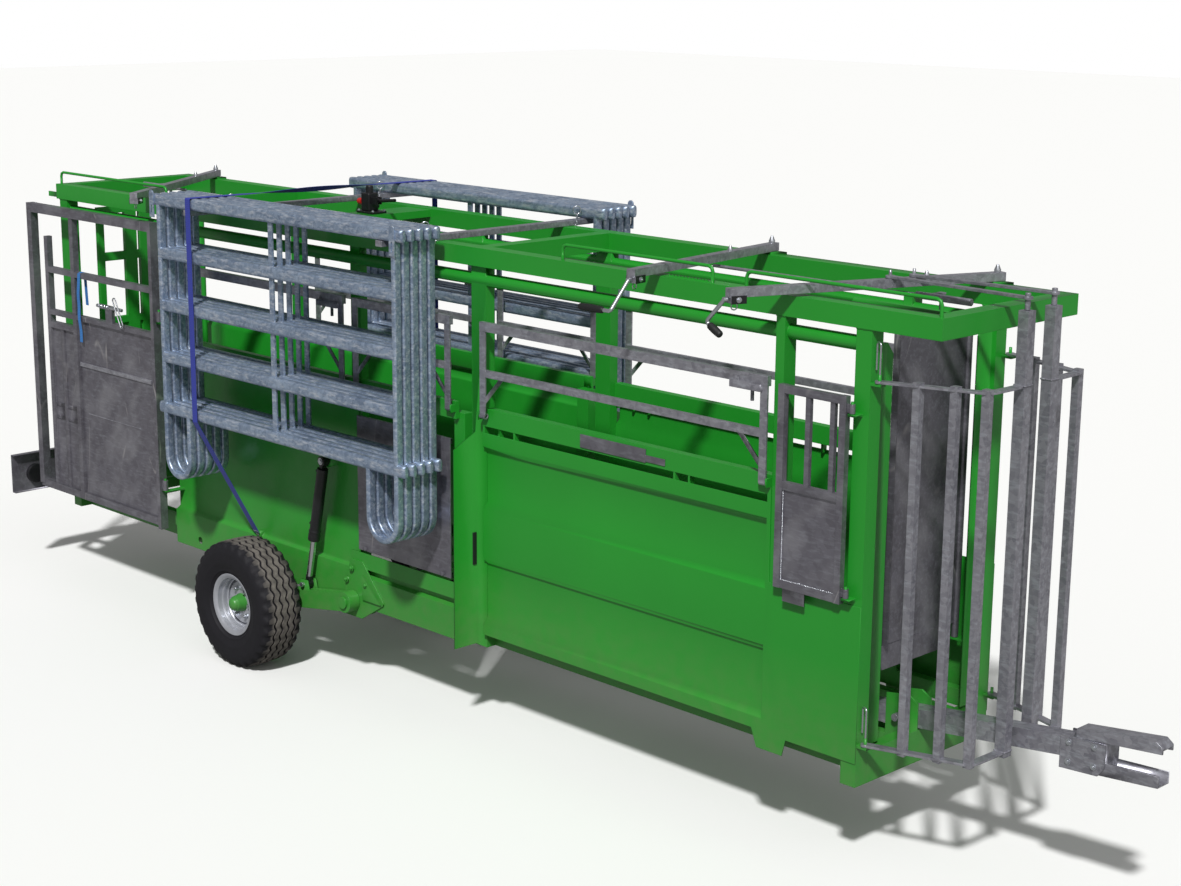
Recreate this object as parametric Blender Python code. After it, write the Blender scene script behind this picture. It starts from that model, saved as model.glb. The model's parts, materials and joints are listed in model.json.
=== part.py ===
"""Mobile cattle handling race on two raised wheels, in metres.

X runs from the rear of the race to its drawbar, Y from the near side to the far side, Z up.
X is counted from the front face of the front posts, Y from the middle of the race and Z from
the underside of the front feet. The last step stands the whole race on the ground.
A side of -1 is the near side (-Y) and a side of +1 is the far side (+Y).
"""

import math

import bmesh
import bpy
from mathutils import Matrix, Vector

NEAR, FAR = -1, 1
SIDE_NAMES = {NEAR: "near", FAR: "far"}

# Clearances
FIT = 0.0003
PLAY = 0.0015
LOOSE = 0.004

# Race body
HALF_WIDTH = 0.48
POST_DEPTH = 0.08
POST_WIDTH = 0.08
LATCH_POST_WIDTH = 0.048
MIDDLE_POST_WIDTH = 0.106
SHEET = 0.004
RAIL_HEIGHT = 0.09
RAIL_TOP = 2.06
FRONT_OVERHANG = 0.345
REAR_END = -6.28
LATCH_POST_X = -0.505
MIDDLE_POST_X = -2.466
POST_GAP = 0.054
SHORT_POST_X = MIDDLE_POST_X - POST_GAP - POST_WIDTH
AXLE_POST_X = -3.43
GATE_POST_X = -5.09
REAR_POST_X = -6.25
FOOT_HEIGHT = 0.04
SIDE_TUBE_RADIUS = 0.0325
SIDE_TUBE_Z = 1.90
SILL_BOTTOM = 0.12
SILL_HEIGHT = 0.08
CROSS_BAR_WIDTH = 0.08
RUNNER_WIDTH = 0.05

# Side sheets
WAIST_BOTTOM = 1.188
WAIST_TOP = 1.277
WAIST_DEPTH = 0.045
PANEL_TOP = 1.154
PANEL_BOTTOM = 0.115
FOLD_DEPTH = 0.03
FRONT_SHEET_TOP = 0.80
SIDE_DOOR_REAR = -3.36
SIDE_DOOR_FRONT = SHORT_POST_X - 0.01
SIDE_DOOR_BOTTOM = 0.35
SIDE_DOOR_TOP = 1.08
SIDE_DOOR_SHEET = 0.006
WALL_BOTTOM = 0.035

# Hinged bars above the sheets
BAR_FRAME_PIVOT_Z = 1.245
BAR_FRAME_PIVOT_OUT = 0.499
BAR_FRAME_TOP = 1.71
BAR_FRAME_TOP_BAR = 0.045
BAR_FRAME_LOW_BAR_Z = 1.44
BAR_FRAME_LOW_BAR = 0.035
BAR_FRAME_THICKNESS = 0.025
END_PLATE_WIDTH = 0.04
KNUCKLE_RADIUS = 0.016
PIVOT_PIN_RADIUS = 0.007

# Wheels, arms and cylinders
AXLE_X = -4.08
AXLE_Z = -0.055
WHEEL_OUT = 0.70
TYRE_RADIUS = 0.355
TYRE_WIDTH = 0.264
TYRE_WALL = 0.014
RIM_RADIUS = 0.152
FLANGE_RADIUS = 0.174
STUB_RADIUS = 0.022
ARM_PIVOT_X = -3.40
ARM_PIVOT_Z = 0.06
ARM_HEIGHT = 0.10
ARM_INNER = 0.49
ARM_WIDTH = 0.066
ARM_BORE_RADIUS = 0.021
CYLINDER_TOP_X = -3.59
CYLINDER_TOP_Z = 0.80
CYLINDER_EYE_X = -3.75
CYLINDER_EYE_Z = 0.085
BARREL_RADIUS = 0.034
BARREL_LENGTH = 0.42
BARREL_NECK = 0.05
ROD_RADIUS = 0.0175
ROD_TRAVEL = 0.22

# Head yoke
WING_HINGE_X = 0.035
WING_HINGE_OUT = 0.46
WING_CORNER_X = 0.47
WING_CORNER_OUT = 0.32
TALL_BAR_OUT = 0.095
TALL_BAR = 0.05
TALL_BAR_BOTTOM = 0.18
TALL_BAR_TOP = 2.068
WING_TOP_Z = 1.76
WING_BOTTOM_Z = 0.20
WING_FLAT = 0.01
WING_FLAT_WIDTH = 0.04
WING_UPRIGHT = 0.034

# Levers on the top frame
LEVER_BOTTOM = 2.0725
LEVER_HEIGHT = 0.038
LEVER_WIDTH = 0.045
LEVER_PIN_RADIUS = 0.008
YOKE_LEVER_PIVOT = (-0.05, 0.455)
YOKE_LEVER_END = (-0.52, -0.77)
DOOR_LEVER_PIVOT = (-1.33, 0.45)
DOOR_LEVER_END = (-1.165, -0.68)
REAR_LEVER_PIVOT = (-5.93, 0.45)
REAR_LEVER_END = (-5.13, -0.66)
YOKE_HANDLE = ((-0.08, -0.02, -0.10), (0.08, 0.0, -0.045))
DOOR_HANDLE = ((-0.02, -0.09, -0.13), (-0.19, 0.0, 0.0))
YOKE_JOINT_NEAR_Y = -0.05
YOKE_JOINT_FAR_Y = 0.06
PUSH_ROD_HEIGHT = 0.012
PUSH_ROD_FOOT = 0.05
DOOR_ROD_RADIUS = 0.008
GUIDE_TUBE_RADIUS = 0.0155
DOOR_ROD_Z = 2.048
GRAB_BAR_RADIUS = 0.008
GRAB_BAR_TOP = 2.132

# Front door and rear door
FRONT_DOOR_X = -0.125
DOOR_HINGE_OUT = 0.378
FRONT_DOOR_FREE_Y = -0.16
FRONT_DOOR_BOTTOM = 0.53
FRONT_DOOR_TOP = 1.90
DOOR_TUBE_RADIUS = 0.016
DROP_PIN_REACH = 0.22
REAR_DOOR_X = -6.00
REAR_DOOR_TOP = 1.93
REAR_DOOR_SHEET_TOP = 1.25

# Vet door
VET_DOOR_FRONT = -0.084
VET_DOOR_REAR = -0.446
VET_DOOR_BOTTOM = 0.804
VET_DOOR_TOP = 1.69
VET_DOOR_MIDDLE = 1.255
VET_DOOR_OUT = 0.507
VET_DOOR_THICKNESS = 0.03
VET_HINGE_X = -0.062

# Rear side gate
GATE_OUT = 0.57
GATE_REAR = -6.45
GATE_FRONT = -5.08
GATE_TOP = 1.94
GATE_HINGE_X = -5.055
GATE_TUBE = 0.05
GATE_HINGES = (0.40, 1.40)

# Stacked hurdles
HURDLES = 5
HURDLE_PITCH = 0.054
HURDLE_INNER = 0.55
HURDLE_DEPTH = 0.048
HURDLE_REAR = -4.67
HURDLE_FRONT = -2.62
HURDLE_RAILS = 5
HURDLE_RAIL_PITCH = 0.29
HURDLE_BOTTOM_RAIL_Z = 0.963
HURDLE_RAIL = 0.065
HURDLE_CAP = 0.05
HURDLE_UPRIGHT = 0.03
HURDLE_LOOP_WIDTH = 0.25
HURDLE_LOOP_BOTTOM = 0.57
HURDLE_CENTRE_BAR = 0.035

# Carriers, strap and pump
CARRIER_HEIGHT = 0.03
CARRIER_WIDTH = 0.05
FRONT_CARRIER_X = -2.76
REAR_CARRIER_X = -4.40
STRAP_WIDTH = 0.05
STRAP_THICKNESS = 0.003
STRAP_NEAR_X = -4.35
STRAP_FAR_X = -4.24
HOOK_X = -4.26
HOOK_Z = 0.27
PUMP_X = -3.88
PUMP_Y = 0.06

# Drawbar and light board
DRAWBAR = 0.085
DRAWBAR_PITCH = math.radians(6.5)
DRAWBAR_REAR = -0.60
DRAWBAR_TOP_AT_POSTS = 0.242
DRAWBAR_FRONT = 1.18
DRAWBAR_PIN_X = -0.10
DRAWBAR_PIN_RADIUS = 0.011
LIGHT_BOARD_X = -6.62
LIGHT_BOARD_HALF = 0.70
LIGHT_BOARD_BOTTOM = 0.085
LIGHT_BOARD_TOP = 0.33
LAMP_OUT = 0.54
LAMP_RADIUS = 0.06

# Values that follow from the ones above
RAIL_BOTTOM = RAIL_TOP - RAIL_HEIGHT
POST_TOP = RAIL_BOTTOM - FIT
POST_FACE = HALF_WIDTH - SHEET - FIT
POST_INNER = HALF_WIDTH - POST_DEPTH
LEVER_TOP = LEVER_BOTTOM + LEVER_HEIGHT
CARRIER_BOTTOM = RAIL_TOP + FIT
HURDLE_TOP = HURDLE_BOTTOM_RAIL_Z + (HURDLE_RAILS - 1) * HURDLE_RAIL_PITCH + HURDLE_RAIL / 2
STACK_OUTER = HURDLE_INNER + (HURDLES - 1) * HURDLE_PITCH + HURDLE_DEPTH
ARM_MIDDLE = ARM_INNER + ARM_WIDTH / 2
DRAWBAR_AXIS_AT_POSTS = DRAWBAR_TOP_AT_POSTS - DRAWBAR / 2 / math.cos(DRAWBAR_PITCH)
DRAWBAR_PIN_Z = DRAWBAR_AXIS_AT_POSTS + DRAWBAR_PIN_X * math.tan(DRAWBAR_PITCH)
Z_AXIS = Vector((0, 0, 1))
X_AXIS = Vector((1, 0, 0))
Y_AXIS = Vector((0, 1, 0))


def clear_scene():
    for old in list(bpy.data.objects):
        bpy.data.objects.remove(old, do_unlink=True)


def painted(name, colour, roughness, metallic=0.0):
    material = bpy.data.materials.new(name)
    material.use_nodes = True
    surface = material.node_tree.nodes["Principled BSDF"]
    surface.inputs["Base Color"].default_value = (*colour, 1.0)
    surface.inputs["Roughness"].default_value = roughness
    surface.inputs["Metallic"].default_value = metallic
    return material


def shape(vertices, faces):
    """A helper object with faces turned outwards, used by weld and removed there."""
    mesh = bpy.data.meshes.new("shape")
    mesh.from_pydata([tuple(v) for v in vertices], [], faces)
    work = bmesh.new()
    work.from_mesh(mesh)
    bmesh.ops.recalc_face_normals(work, faces=work.faces)
    work.to_mesh(mesh)
    work.free()
    helper = bpy.data.objects.new("shape", mesh)
    bpy.context.scene.collection.objects.link(helper)
    return helper


def block(x, y, z):
    """A box from (low, high) pairs."""
    (x0, x1), (y0, y1), (z0, z1) = sorted(x), sorted(y), sorted(z)
    corners = [(a, b, c) for a in (x0, x1) for b in (y0, y1) for c in (z0, z1)]
    return shape(
        corners,
        [(0, 1, 3, 2), (4, 6, 7, 5), (0, 4, 5, 1), (2, 3, 7, 6), (0, 2, 6, 4), (1, 5, 7, 3)],
    )


def out(side, inner, outer):
    """The Y range between two distances from the middle, on one side."""
    return tuple(sorted((side * inner, side * outer)))


def oblong(width, height):
    """A rectangular section as (across, up) points."""
    return [
        (-width / 2, -height / 2),
        (width / 2, -height / 2),
        (width / 2, height / 2),
        (-width / 2, height / 2),
    ]


def circle(radius, sides=12):
    return [
        (radius * math.cos(math.tau * k / sides), radius * math.sin(math.tau * k / sides))
        for k in range(sides)
    ]


def sweep(path, section, across):
    """A section moved along a flat path with mitred corners; across is square to the path's plane."""
    path = [Vector(p) for p in path]
    across = Vector(across).normalized()
    vertices = []
    for k, point in enumerate(path):
        before = (point - path[k - 1]).normalized() if k else None
        after = (path[k + 1] - point).normalized() if k + 1 < len(path) else None
        ahead = before or after
        if before and after:
            ahead = (before + after).normalized()
        mitre = 1 / max(0.2, ahead.dot(before or after))
        up = across.cross(ahead).normalized() * mitre
        vertices += [point + across * a + up * b for a, b in section]
    count = len(section)
    faces = [list(range(count)), list(range(len(vertices) - count, len(vertices)))]
    for ring in range(len(path) - 1):
        for k in range(count):
            first, second = ring * count + k, ring * count + (k + 1) % count
            faces.append([first, second, second + count, first + count])
    return shape(vertices, faces)


def bar(start, end, width, height, across):
    return sweep([start, end], oblong(width, height), across)


def rod(start, end, radius, sides=8):
    direction = Vector(end) - Vector(start)
    across = direction.orthogonal()
    return sweep([start, end], circle(radius, sides), across)


def rounded(points, radius, steps=3):
    """The path with each inner corner turned into an arc."""
    points = [Vector(p) for p in points]
    path = [points[0]]
    for before, corner, after in zip(points, points[1:], points[2:]):
        to_before = (before - corner).normalized()
        to_after = (after - corner).normalized()
        half = to_before.angle(to_after) / 2
        centre = corner + (to_before + to_after).normalized() * radius / math.sin(half)
        first = corner + to_before * radius / math.tan(half) - centre
        last = corner + to_after * radius / math.tan(half) - centre
        for k in range(steps + 1):
            spoke = first.lerp(last, k / steps).normalized()
            path.append(centre + spoke * radius)
    return path + [points[-1]]


def plate(outline, axis, low, high):
    """An outline in the plane square to an axis, as thick as low to high along it."""
    places = {
        "X": lambda a,
        b,
        c: (c, a, b),
        "Y": lambda a,
        b,
        c: (a, c, b),
        "Z": lambda a,
        b,
        c: (a, b, c),
    }
    place = places[axis]
    vertices = [place(a, b, low) for a, b in outline] + [place(a, b, high) for a, b in outline]
    count = len(outline)
    faces = [list(range(count)), list(range(count, 2 * count))]
    for k in range(count):
        after = (k + 1) % count
        faces.append([k, after, after + count, k + count])
    return shape(vertices, faces)


def folded(path, thickness, side, x):
    """A sheet bent along (out, z) points, its outer face on them, between two X values."""
    inner = []
    for k, (y, z) in enumerate(path):
        ways = []
        if k:
            ways.append(Vector((y - path[k - 1][0], z - path[k - 1][1])).normalized())
        if k + 1 < len(path):
            ways.append(Vector((path[k + 1][0] - y, path[k + 1][1] - z)).normalized())
        middle = sum(ways, Vector((0, 0))).normalized()
        inward = Vector((-middle.y, middle.x)) * thickness / middle.dot(ways[0])
        inner.append((y + inward.x, z + inward.y))
    outline = [(side * y, z) for y, z in path + inner[::-1]]
    return plate(outline, "X", *x)


def turned(profile, centre, axis, sides=20):
    """A closed (radius, along) profile turned round an axis through centre."""
    centre, axis = Vector(centre), Vector(axis).normalized()
    first = axis.orthogonal().normalized()
    second = axis.cross(first)
    vertices, rings = [], []
    for radius, along in profile:
        if radius < 1e-6:
            rings.append([len(vertices)] * sides)
            vertices.append(centre + axis * along)
            continue
        rings.append(list(range(len(vertices), len(vertices) + sides)))
        for k in range(sides):
            angle = math.tau * k / sides
            spoke = first * math.cos(angle) + second * math.sin(angle)
            vertices.append(centre + spoke * radius + axis * along)
    faces = []
    for k, ring in enumerate(rings):
        after = rings[(k + 1) % len(rings)]
        for j in range(sides):
            corners = [ring[j], ring[(j + 1) % sides], after[(j + 1) % sides], after[j]]
            corners = list(dict.fromkeys(corners))
            if len(corners) > 2:
                faces.append(corners)
    return shape(vertices, faces)


def weld(name, material, pieces, cuts=(), pivot=(0, 0, 0), smooth=False):
    """Joins the pieces, takes the cuts away and sets the origin on the pivot."""
    target = pieces[0]
    for operation, others in (("UNION", pieces[1:]), ("DIFFERENCE", list(cuts))):
        if not others:
            continue
        group = bpy.data.collections.new("operands")
        for other in others:
            group.objects.link(other)
            other.hide_render = True
            other.display_type = "WIRE"
        boolean = target.modifiers.new(operation.title(), "BOOLEAN")
        boolean.operation = operation
        boolean.solver = "EXACT"
        boolean.operand_type = "COLLECTION"
        boolean.collection = group
        bpy.context.view_layer.update()
        graph = bpy.context.evaluated_depsgraph_get()
        mesh = bpy.data.meshes.new_from_object(target.evaluated_get(graph))
        target.modifiers.clear()
        target.data = mesh
        for other in others:
            bpy.data.objects.remove(other, do_unlink=True)
        bpy.data.collections.remove(group)
    target.name = name
    target.data.name = name
    pivot = Vector(pivot)
    target.data.transform(Matrix.Translation(-pivot))
    target.location = pivot
    target.data.materials.clear()
    target.data.materials.append(material)
    if smooth:
        target.data.shade_smooth()
        target.data.set_sharp_from_angle(angle=math.radians(40))
    return target


def named(side, name):
    return f"{SIDE_NAMES[side]}_{name}"


def along_lever(pivot, end, y):
    """The point of a lever's centre line at a given Y."""
    share = (y - pivot[1]) / (end[1] - pivot[1])
    return (pivot[0] + share * (end[0] - pivot[0]), y)


def top_frame():
    """Rails, cross bars, grab bars, the rack and the lever pins."""
    mid_z = (RAIL_BOTTOM, RAIL_TOP)
    pieces = [
        block((REAR_END, FRONT_OVERHANG), out(side, POST_INNER, HALF_WIDTH), mid_z)
        for side in (NEAR, FAR)
    ]
    inner = (-POST_INNER - FOLD_DEPTH, POST_INNER + FOLD_DEPTH)
    stations = (
        FRONT_OVERHANG - CROSS_BAR_WIDTH,
        REAR_END,
        GATE_POST_X,
        MIDDLE_POST_X + MIDDLE_POST_WIDTH / 2 - CROSS_BAR_WIDTH / 2,
    )
    for x in stations:
        pieces.append(block((x, x + CROSS_BAR_WIDTH), inner, mid_z))
    pieces.append(block((PUMP_X - 0.10, PUMP_X + 0.10), inner, (RAIL_TOP - 0.045, RAIL_TOP - 0.005)))
    loops = ((-1.82, -0.884), (-0.69, 0.324), (REAR_END + 0.035, GATE_POST_X - 0.01))
    grip_y = -(HALF_WIDTH - 0.02)
    for x0, x1 in loops:
        base = RAIL_TOP - 0.01
        corners = [
            (x0, grip_y, base),
            (x0, grip_y, GRAB_BAR_TOP),
            (x1, grip_y, GRAB_BAR_TOP),
            (x1, grip_y, base),
        ]
        pieces.append(sweep(rounded(corners, 0.025, 2), circle(GRAB_BAR_RADIUS, 8), (0, 1, 0)))
    pieces += lever_pins()
    pieces.append(rack())
    guide_front = FRONT_OVERHANG - CROSS_BAR_WIDTH + 0.005
    pieces.append(rod((-0.21, -0.33, DOOR_ROD_Z), (guide_front, -0.33, DOOR_ROD_Z), GUIDE_TUBE_RADIUS, 12))
    pieces.append(
        block((REAR_END - 0.16, REAR_END + 0.01), (-0.44, -0.43), (RAIL_BOTTOM, RAIL_BOTTOM + 0.03))
    )
    return weld("top_frame", GREEN, pieces)


def lever_pins():
    """A pad, a pin and a pointed nut for each lever."""
    pieces = []
    pin_end = LEVER_TOP + 2 * PLAY + 0.012
    for x, y in (YOKE_LEVER_PIVOT, DOOR_LEVER_PIVOT, REAR_LEVER_PIVOT):
        pad = [(x - 0.07, HALF_WIDTH), (x - 0.03, y - 0.04), (x + 0.03, y - 0.04), (x + 0.07, HALF_WIDTH)]
        pieces.append(plate(pad, "Z", RAIL_TOP - 0.01, LEVER_BOTTOM - PLAY))
        pieces.append(rod((x, y, RAIL_TOP - 0.02), (x, y, pin_end), LEVER_PIN_RADIUS))
        point = [(0, 0), (0.014, 0), (0.014, 0.01), (0.004, 0.032), (0, 0.032)]
        pieces.append(turned(point, (x, y, LEVER_TOP + PLAY), Z_AXIS, 12))
    return pieces


def rack():
    """The toothed bar in front of the door lever, on the near rail."""
    start, length, teeth = -1.14, 0.24, 12
    height = LEVER_BOTTOM - PLAY - RAIL_TOP
    outline = [(start, RAIL_TOP - 0.01)]
    for k in range(teeth):
        x = start + k * length / teeth
        outline += [(x, RAIL_TOP + height), (x + 0.7 * length / teeth, RAIL_TOP + 0.003)]
    outline += [(start + length, RAIL_TOP + 0.003), (start + length, RAIL_TOP - 0.01)]
    y = -(HALF_WIDTH - 0.02)
    return plate(outline, "Y", y - 0.004, y + 0.004)


def side_frame(side):
    """Posts, the round upper tube, the sill, the fin and the hinge lugs of one side."""
    depth = out(side, POST_INNER, POST_FACE)
    middle_depth = out(side, POST_INNER, POST_FACE - 0.02)
    pieces = [
        block((-POST_WIDTH, 0), depth, (0, POST_TOP)),
        block((LATCH_POST_X, LATCH_POST_X + LATCH_POST_WIDTH), depth, (SILL_BOTTOM, POST_TOP)),
        block((MIDDLE_POST_X, MIDDLE_POST_X + MIDDLE_POST_WIDTH), middle_depth, (FOOT_HEIGHT, POST_TOP)),
        block((SHORT_POST_X, SHORT_POST_X + POST_WIDTH), middle_depth, (FOOT_HEIGHT, WAIST_BOTTOM + 0.03)),
        block((REAR_POST_X, REAR_POST_X + POST_WIDTH), depth, (FOOT_HEIGHT, POST_TOP)),
    ]
    inner_depth = out(side, POST_INNER, HALF_WIDTH - FOLD_DEPTH - SHEET - FIT)
    for x in (AXLE_POST_X, GATE_POST_X):
        pieces.append(block((x, x + POST_WIDTH), inner_depth, (FOOT_HEIGHT, POST_TOP)))
    pieces.append(
        rod(
            (REAR_POST_X + 0.02, side * 0.43, SIDE_TUBE_Z),
            (-0.02, side * 0.43, SIDE_TUBE_Z),
            SIDE_TUBE_RADIUS,
            16,
        )
    )
    pieces.append(block((REAR_POST_X + 0.02, -0.02), inner_depth, (SILL_BOTTOM, SILL_BOTTOM + SILL_HEIGHT)))
    pieces.append(fin(side))
    pieces.append(shoulder_plate(side))
    pieces += wing_lugs(side)
    if side == NEAR:
        pieces += vet_lugs(side)
        pieces += gate_lug(side, GATE_HINGES[1], POST_INNER + 0.02)
    else:
        pieces += door_lugs()
    return weld(named(side, "side_frame"), GREEN, pieces)


def fin(side):
    """The upright plate that keeps the stacked hurdles from sliding forward, with its stay."""
    root = POST_FACE - 0.03
    tip = 0.60
    outline = [
        (side * y, z)
        for y, z in ((root, 0.045), (tip, 0.045), (tip, 1.07), (root + 0.01, 1.14), (root, 1.14))
    ]
    x = MIDDLE_POST_X + 0.02
    return plate(outline, "X", x, x + 0.008)


def shoulder_plate(side):
    """The upright plate that narrows the front opening, its top corner cut off."""
    top = SIDE_TUBE_Z
    outline = [(0.30, 0.16), (0.41, 0.16), (0.41, top), (0.34, top), (0.30, top - 0.05)]
    return plate([(side * y, z) for y, z in outline], "X", -0.03, -0.022)


def wing_lugs(side):
    """Lugs on the front post with the upright pins that the wing turns on."""
    pieces = []
    for z in (WING_TOP_Z, WING_BOTTOM_Z):
        under = z - WING_FLAT / 2 - PLAY
        tip = WING_HINGE_X + 0.018
        pieces.append(
            block((-0.02, tip), out(side, WING_HINGE_OUT - 0.018, POST_FACE), (under - 0.012, under))
        )
        foot = (WING_HINGE_X, side * WING_HINGE_OUT, under - 0.006)
        pieces.append(rod(foot, (foot[0], foot[1], z + 0.03), PIVOT_PIN_RADIUS))
    return pieces


def vet_lugs(side):
    """Lugs on the front post with the pins of the vet door."""
    pieces = []
    for z in (VET_DOOR_BOTTOM + 0.05, VET_DOOR_TOP - 0.05):
        under = z - 0.02 - PLAY
        reach = VET_DOOR_OUT + 0.014
        pieces.append(
            block(
                (VET_HINGE_X - 0.014, VET_HINGE_X + 0.03),
                out(side, POST_FACE - 0.01, reach),
                (under - 0.01, under),
            )
        )
        foot = (VET_HINGE_X, side * VET_DOOR_OUT, under - 0.005)
        pieces.append(rod(foot, (foot[0], foot[1], z + 0.03), PIVOT_PIN_RADIUS))
    return pieces


def gate_lug(side, z, root):
    """A lug with one pin of the rear side gate."""
    under = z - 0.03 - PLAY
    x = GATE_HINGE_X
    pin = (x, side * GATE_OUT, under - 0.006)
    lug = block((x - 0.018, x + 0.018), out(side, root, GATE_OUT + 0.012), (under - 0.012, under))
    return [lug, rod(pin, (pin[0], pin[1], z + 0.04), PIVOT_PIN_RADIUS)]


def door_lugs():
    """Lugs with pins for the front door and the rear door on the far side."""
    pieces = []
    hinges = (
        (FRONT_DOOR_X, FRONT_DOOR_BOTTOM - 0.08, -POST_WIDTH),
        (REAR_DOOR_X, 0.20, REAR_POST_X + POST_WIDTH),
    )
    for x, z, post in hinges:
        for level, way in ((z, 1), (SIDE_TUBE_Z - SIDE_TUBE_RADIUS - 0.02, -1)):
            low, high = sorted((level, level - way * 0.01))
            reach = (min(x - 0.014, post - 0.02), max(x + 0.014, post + 0.02))
            pieces.append(block(reach, (DOOR_HINGE_OUT - 0.014, POST_INNER + 0.02), (low, high)))
            pieces.append(
                rod(
                    (x, DOOR_HINGE_OUT, level - way * 0.005),
                    (x, DOOR_HINGE_OUT, level + way * 0.04),
                    PIVOT_PIN_RADIUS,
                )
            )
    return pieces


def front_panel(side):
    """The folded side sheet, its flat front sheet, the skid tab and the waist rail."""
    fold = HALF_WIDTH - FOLD_DEPTH
    path = [
        (HALF_WIDTH, PANEL_BOTTOM),
        (HALF_WIDTH, 0.168),
        (fold, 0.205),
        (fold, 0.482),
        (HALF_WIDTH, 0.512),
        (HALF_WIDTH, 0.765),
        (fold, 0.801),
        (fold, 1.052),
        (HALF_WIDTH, 1.085),
        (HALF_WIDTH, PANEL_TOP),
    ]
    rear = MIDDLE_POST_X + MIDDLE_POST_WIDTH + FIT
    face = out(side, HALF_WIDTH - SHEET, HALF_WIDTH)
    pieces = [folded(path, SHEET, side, (rear, LATCH_POST_X))]
    pieces.append(block((LATCH_POST_X - 0.02, 0), face, (0.107, FRONT_SHEET_TOP)))
    pieces.append(block((LATCH_POST_X - 0.02, LATCH_POST_X), face, (0.107, WAIST_TOP)))
    skid = [(-0.584, 0.12), (-0.55, 0.03), (-0.404, 0.03), (-0.38, 0.12)]
    pieces.append(plate(skid, "Y", *face))
    pieces.append(
        block(
            (rear, LATCH_POST_X),
            out(side, HALF_WIDTH - WAIST_DEPTH, HALF_WIDTH),
            (WAIST_BOTTOM, WAIST_TOP),
        )
    )
    for x in (-2.36, -2.25, -2.14, -1.08, -0.99):
        pieces.append(
            block(
                (x, x + 0.012),
                out(side, HALF_WIDTH - 0.03, HALF_WIDTH - 0.001),
                (PANEL_TOP - 0.01, WAIST_BOTTOM + 0.01),
            )
        )
    catch = HALF_WIDTH + 0.005
    pieces.append(block((-1.671, -1.249), out(side, HALF_WIDTH - 0.002, catch), (1.200, 1.262)))
    pieces.append(block((-1.30, -1.129), out(side, HALF_WIDTH - 0.002, catch - 0.001), (1.205, 1.235)))
    pieces += pivot_lugs(side, rear + 0.002, LATCH_POST_X)
    cuts = [
        block(
            (LATCH_POST_X - FIT, LATCH_POST_X + LATCH_POST_WIDTH + FIT),
            out(side, POST_INNER, POST_FACE + FIT),
            (0, RAIL_TOP),
        ),
    ]
    return weld(named(side, "front_panel"), GREEN, pieces, cuts)


def pivot_lugs(side, rear, front):
    """A lug and a pin along X at each end of a hinged bar frame."""
    pieces = []
    for x, way in ((rear, 1), (front, -1)):
        lug = sorted((x, x + way * 0.008))
        tip = BAR_FRAME_PIVOT_OUT + 0.014
        z = BAR_FRAME_PIVOT_Z
        pieces.append(block(lug, out(side, HALF_WIDTH - 0.01, tip), (z - 0.02, z + 0.02)))
        y = side * BAR_FRAME_PIVOT_OUT
        pieces.append(rod((x + way * 0.004, y, z), (x + way * 0.036, y, z), PIVOT_PIN_RADIUS))
    return pieces


def bar_frame(name, side, rear, front, latch=None):
    """Two rails on end plates that drop outwards round their lower pins."""
    y = BAR_FRAME_PIVOT_OUT
    half = BAR_FRAME_THICKNESS / 2
    depth = out(side, y - half, y + half)
    rear += 0.008 + PLAY
    front -= 0.008 + PLAY
    low = (BAR_FRAME_LOW_BAR_Z, BAR_FRAME_LOW_BAR_Z + BAR_FRAME_LOW_BAR)
    pieces = [
        block((rear, front), depth, (BAR_FRAME_TOP - BAR_FRAME_TOP_BAR, BAR_FRAME_TOP)),
        block((rear + 0.01, front - 0.01), out(side, y - half + 0.002, y + half - 0.002), low),
    ]
    cuts = []
    for x, way in ((rear, 1), (front, -1)):
        width = sorted((x, x + way * END_PLATE_WIDTH))
        thin = out(side, y + half - 0.010, y + half - 0.001)
        pieces.append(block(width, thin, (BAR_FRAME_PIVOT_Z, BAR_FRAME_TOP - 0.005)))
        knuckle = sorted((x, x + way * (END_PLATE_WIDTH - 0.004)))
        pivot_y = side * y
        pieces.append(
            rod(
                (knuckle[0], pivot_y, BAR_FRAME_PIVOT_Z),
                (knuckle[1], pivot_y, BAR_FRAME_PIVOT_Z),
                KNUCKLE_RADIUS,
            )
        )
        end = x + way * 0.04
        cuts.append(
            rod(
                (x - way * 0.01, pivot_y, BAR_FRAME_PIVOT_Z),
                (end + way * 0.01, pivot_y, BAR_FRAME_PIVOT_Z),
                PIVOT_PIN_RADIUS + PLAY,
            )
        )
        low_end = (x + way * 0.02, side * (y + half - 0.006), BAR_FRAME_PIVOT_Z + 0.06)
        high_end = (x + way * 0.16, side * (y + half - 0.006), BAR_FRAME_LOW_BAR_Z + 0.01)
        pieces.append(bar(low_end, high_end, 0.006, 0.022, Y_AXIS))
    if latch:
        z = BAR_FRAME_TOP - 0.07
        pieces.append(
            block(
                (front - 0.20, front - 0.03),
                out(side, y + half - 0.006, y + half + 0.018),
                (z, z + 0.03),
            )
        )
        pieces.append(
            block(
                (front - 0.19, front - 0.16),
                out(side, y + half - 0.006, y + half + 0.004),
                (z + 0.01, BAR_FRAME_TOP - 0.02),
            )
        )
        pieces.append(
            rod(
                (front - 0.075, side * (y + half + 0.009), z - 0.045),
                (front - 0.075, side * (y + half + 0.009), z + 0.01),
                0.008,
                8,
            )
        )
    return weld(name, GALVANISED, pieces, cuts, (rear, side * y, BAR_FRAME_PIVOT_Z))


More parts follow.
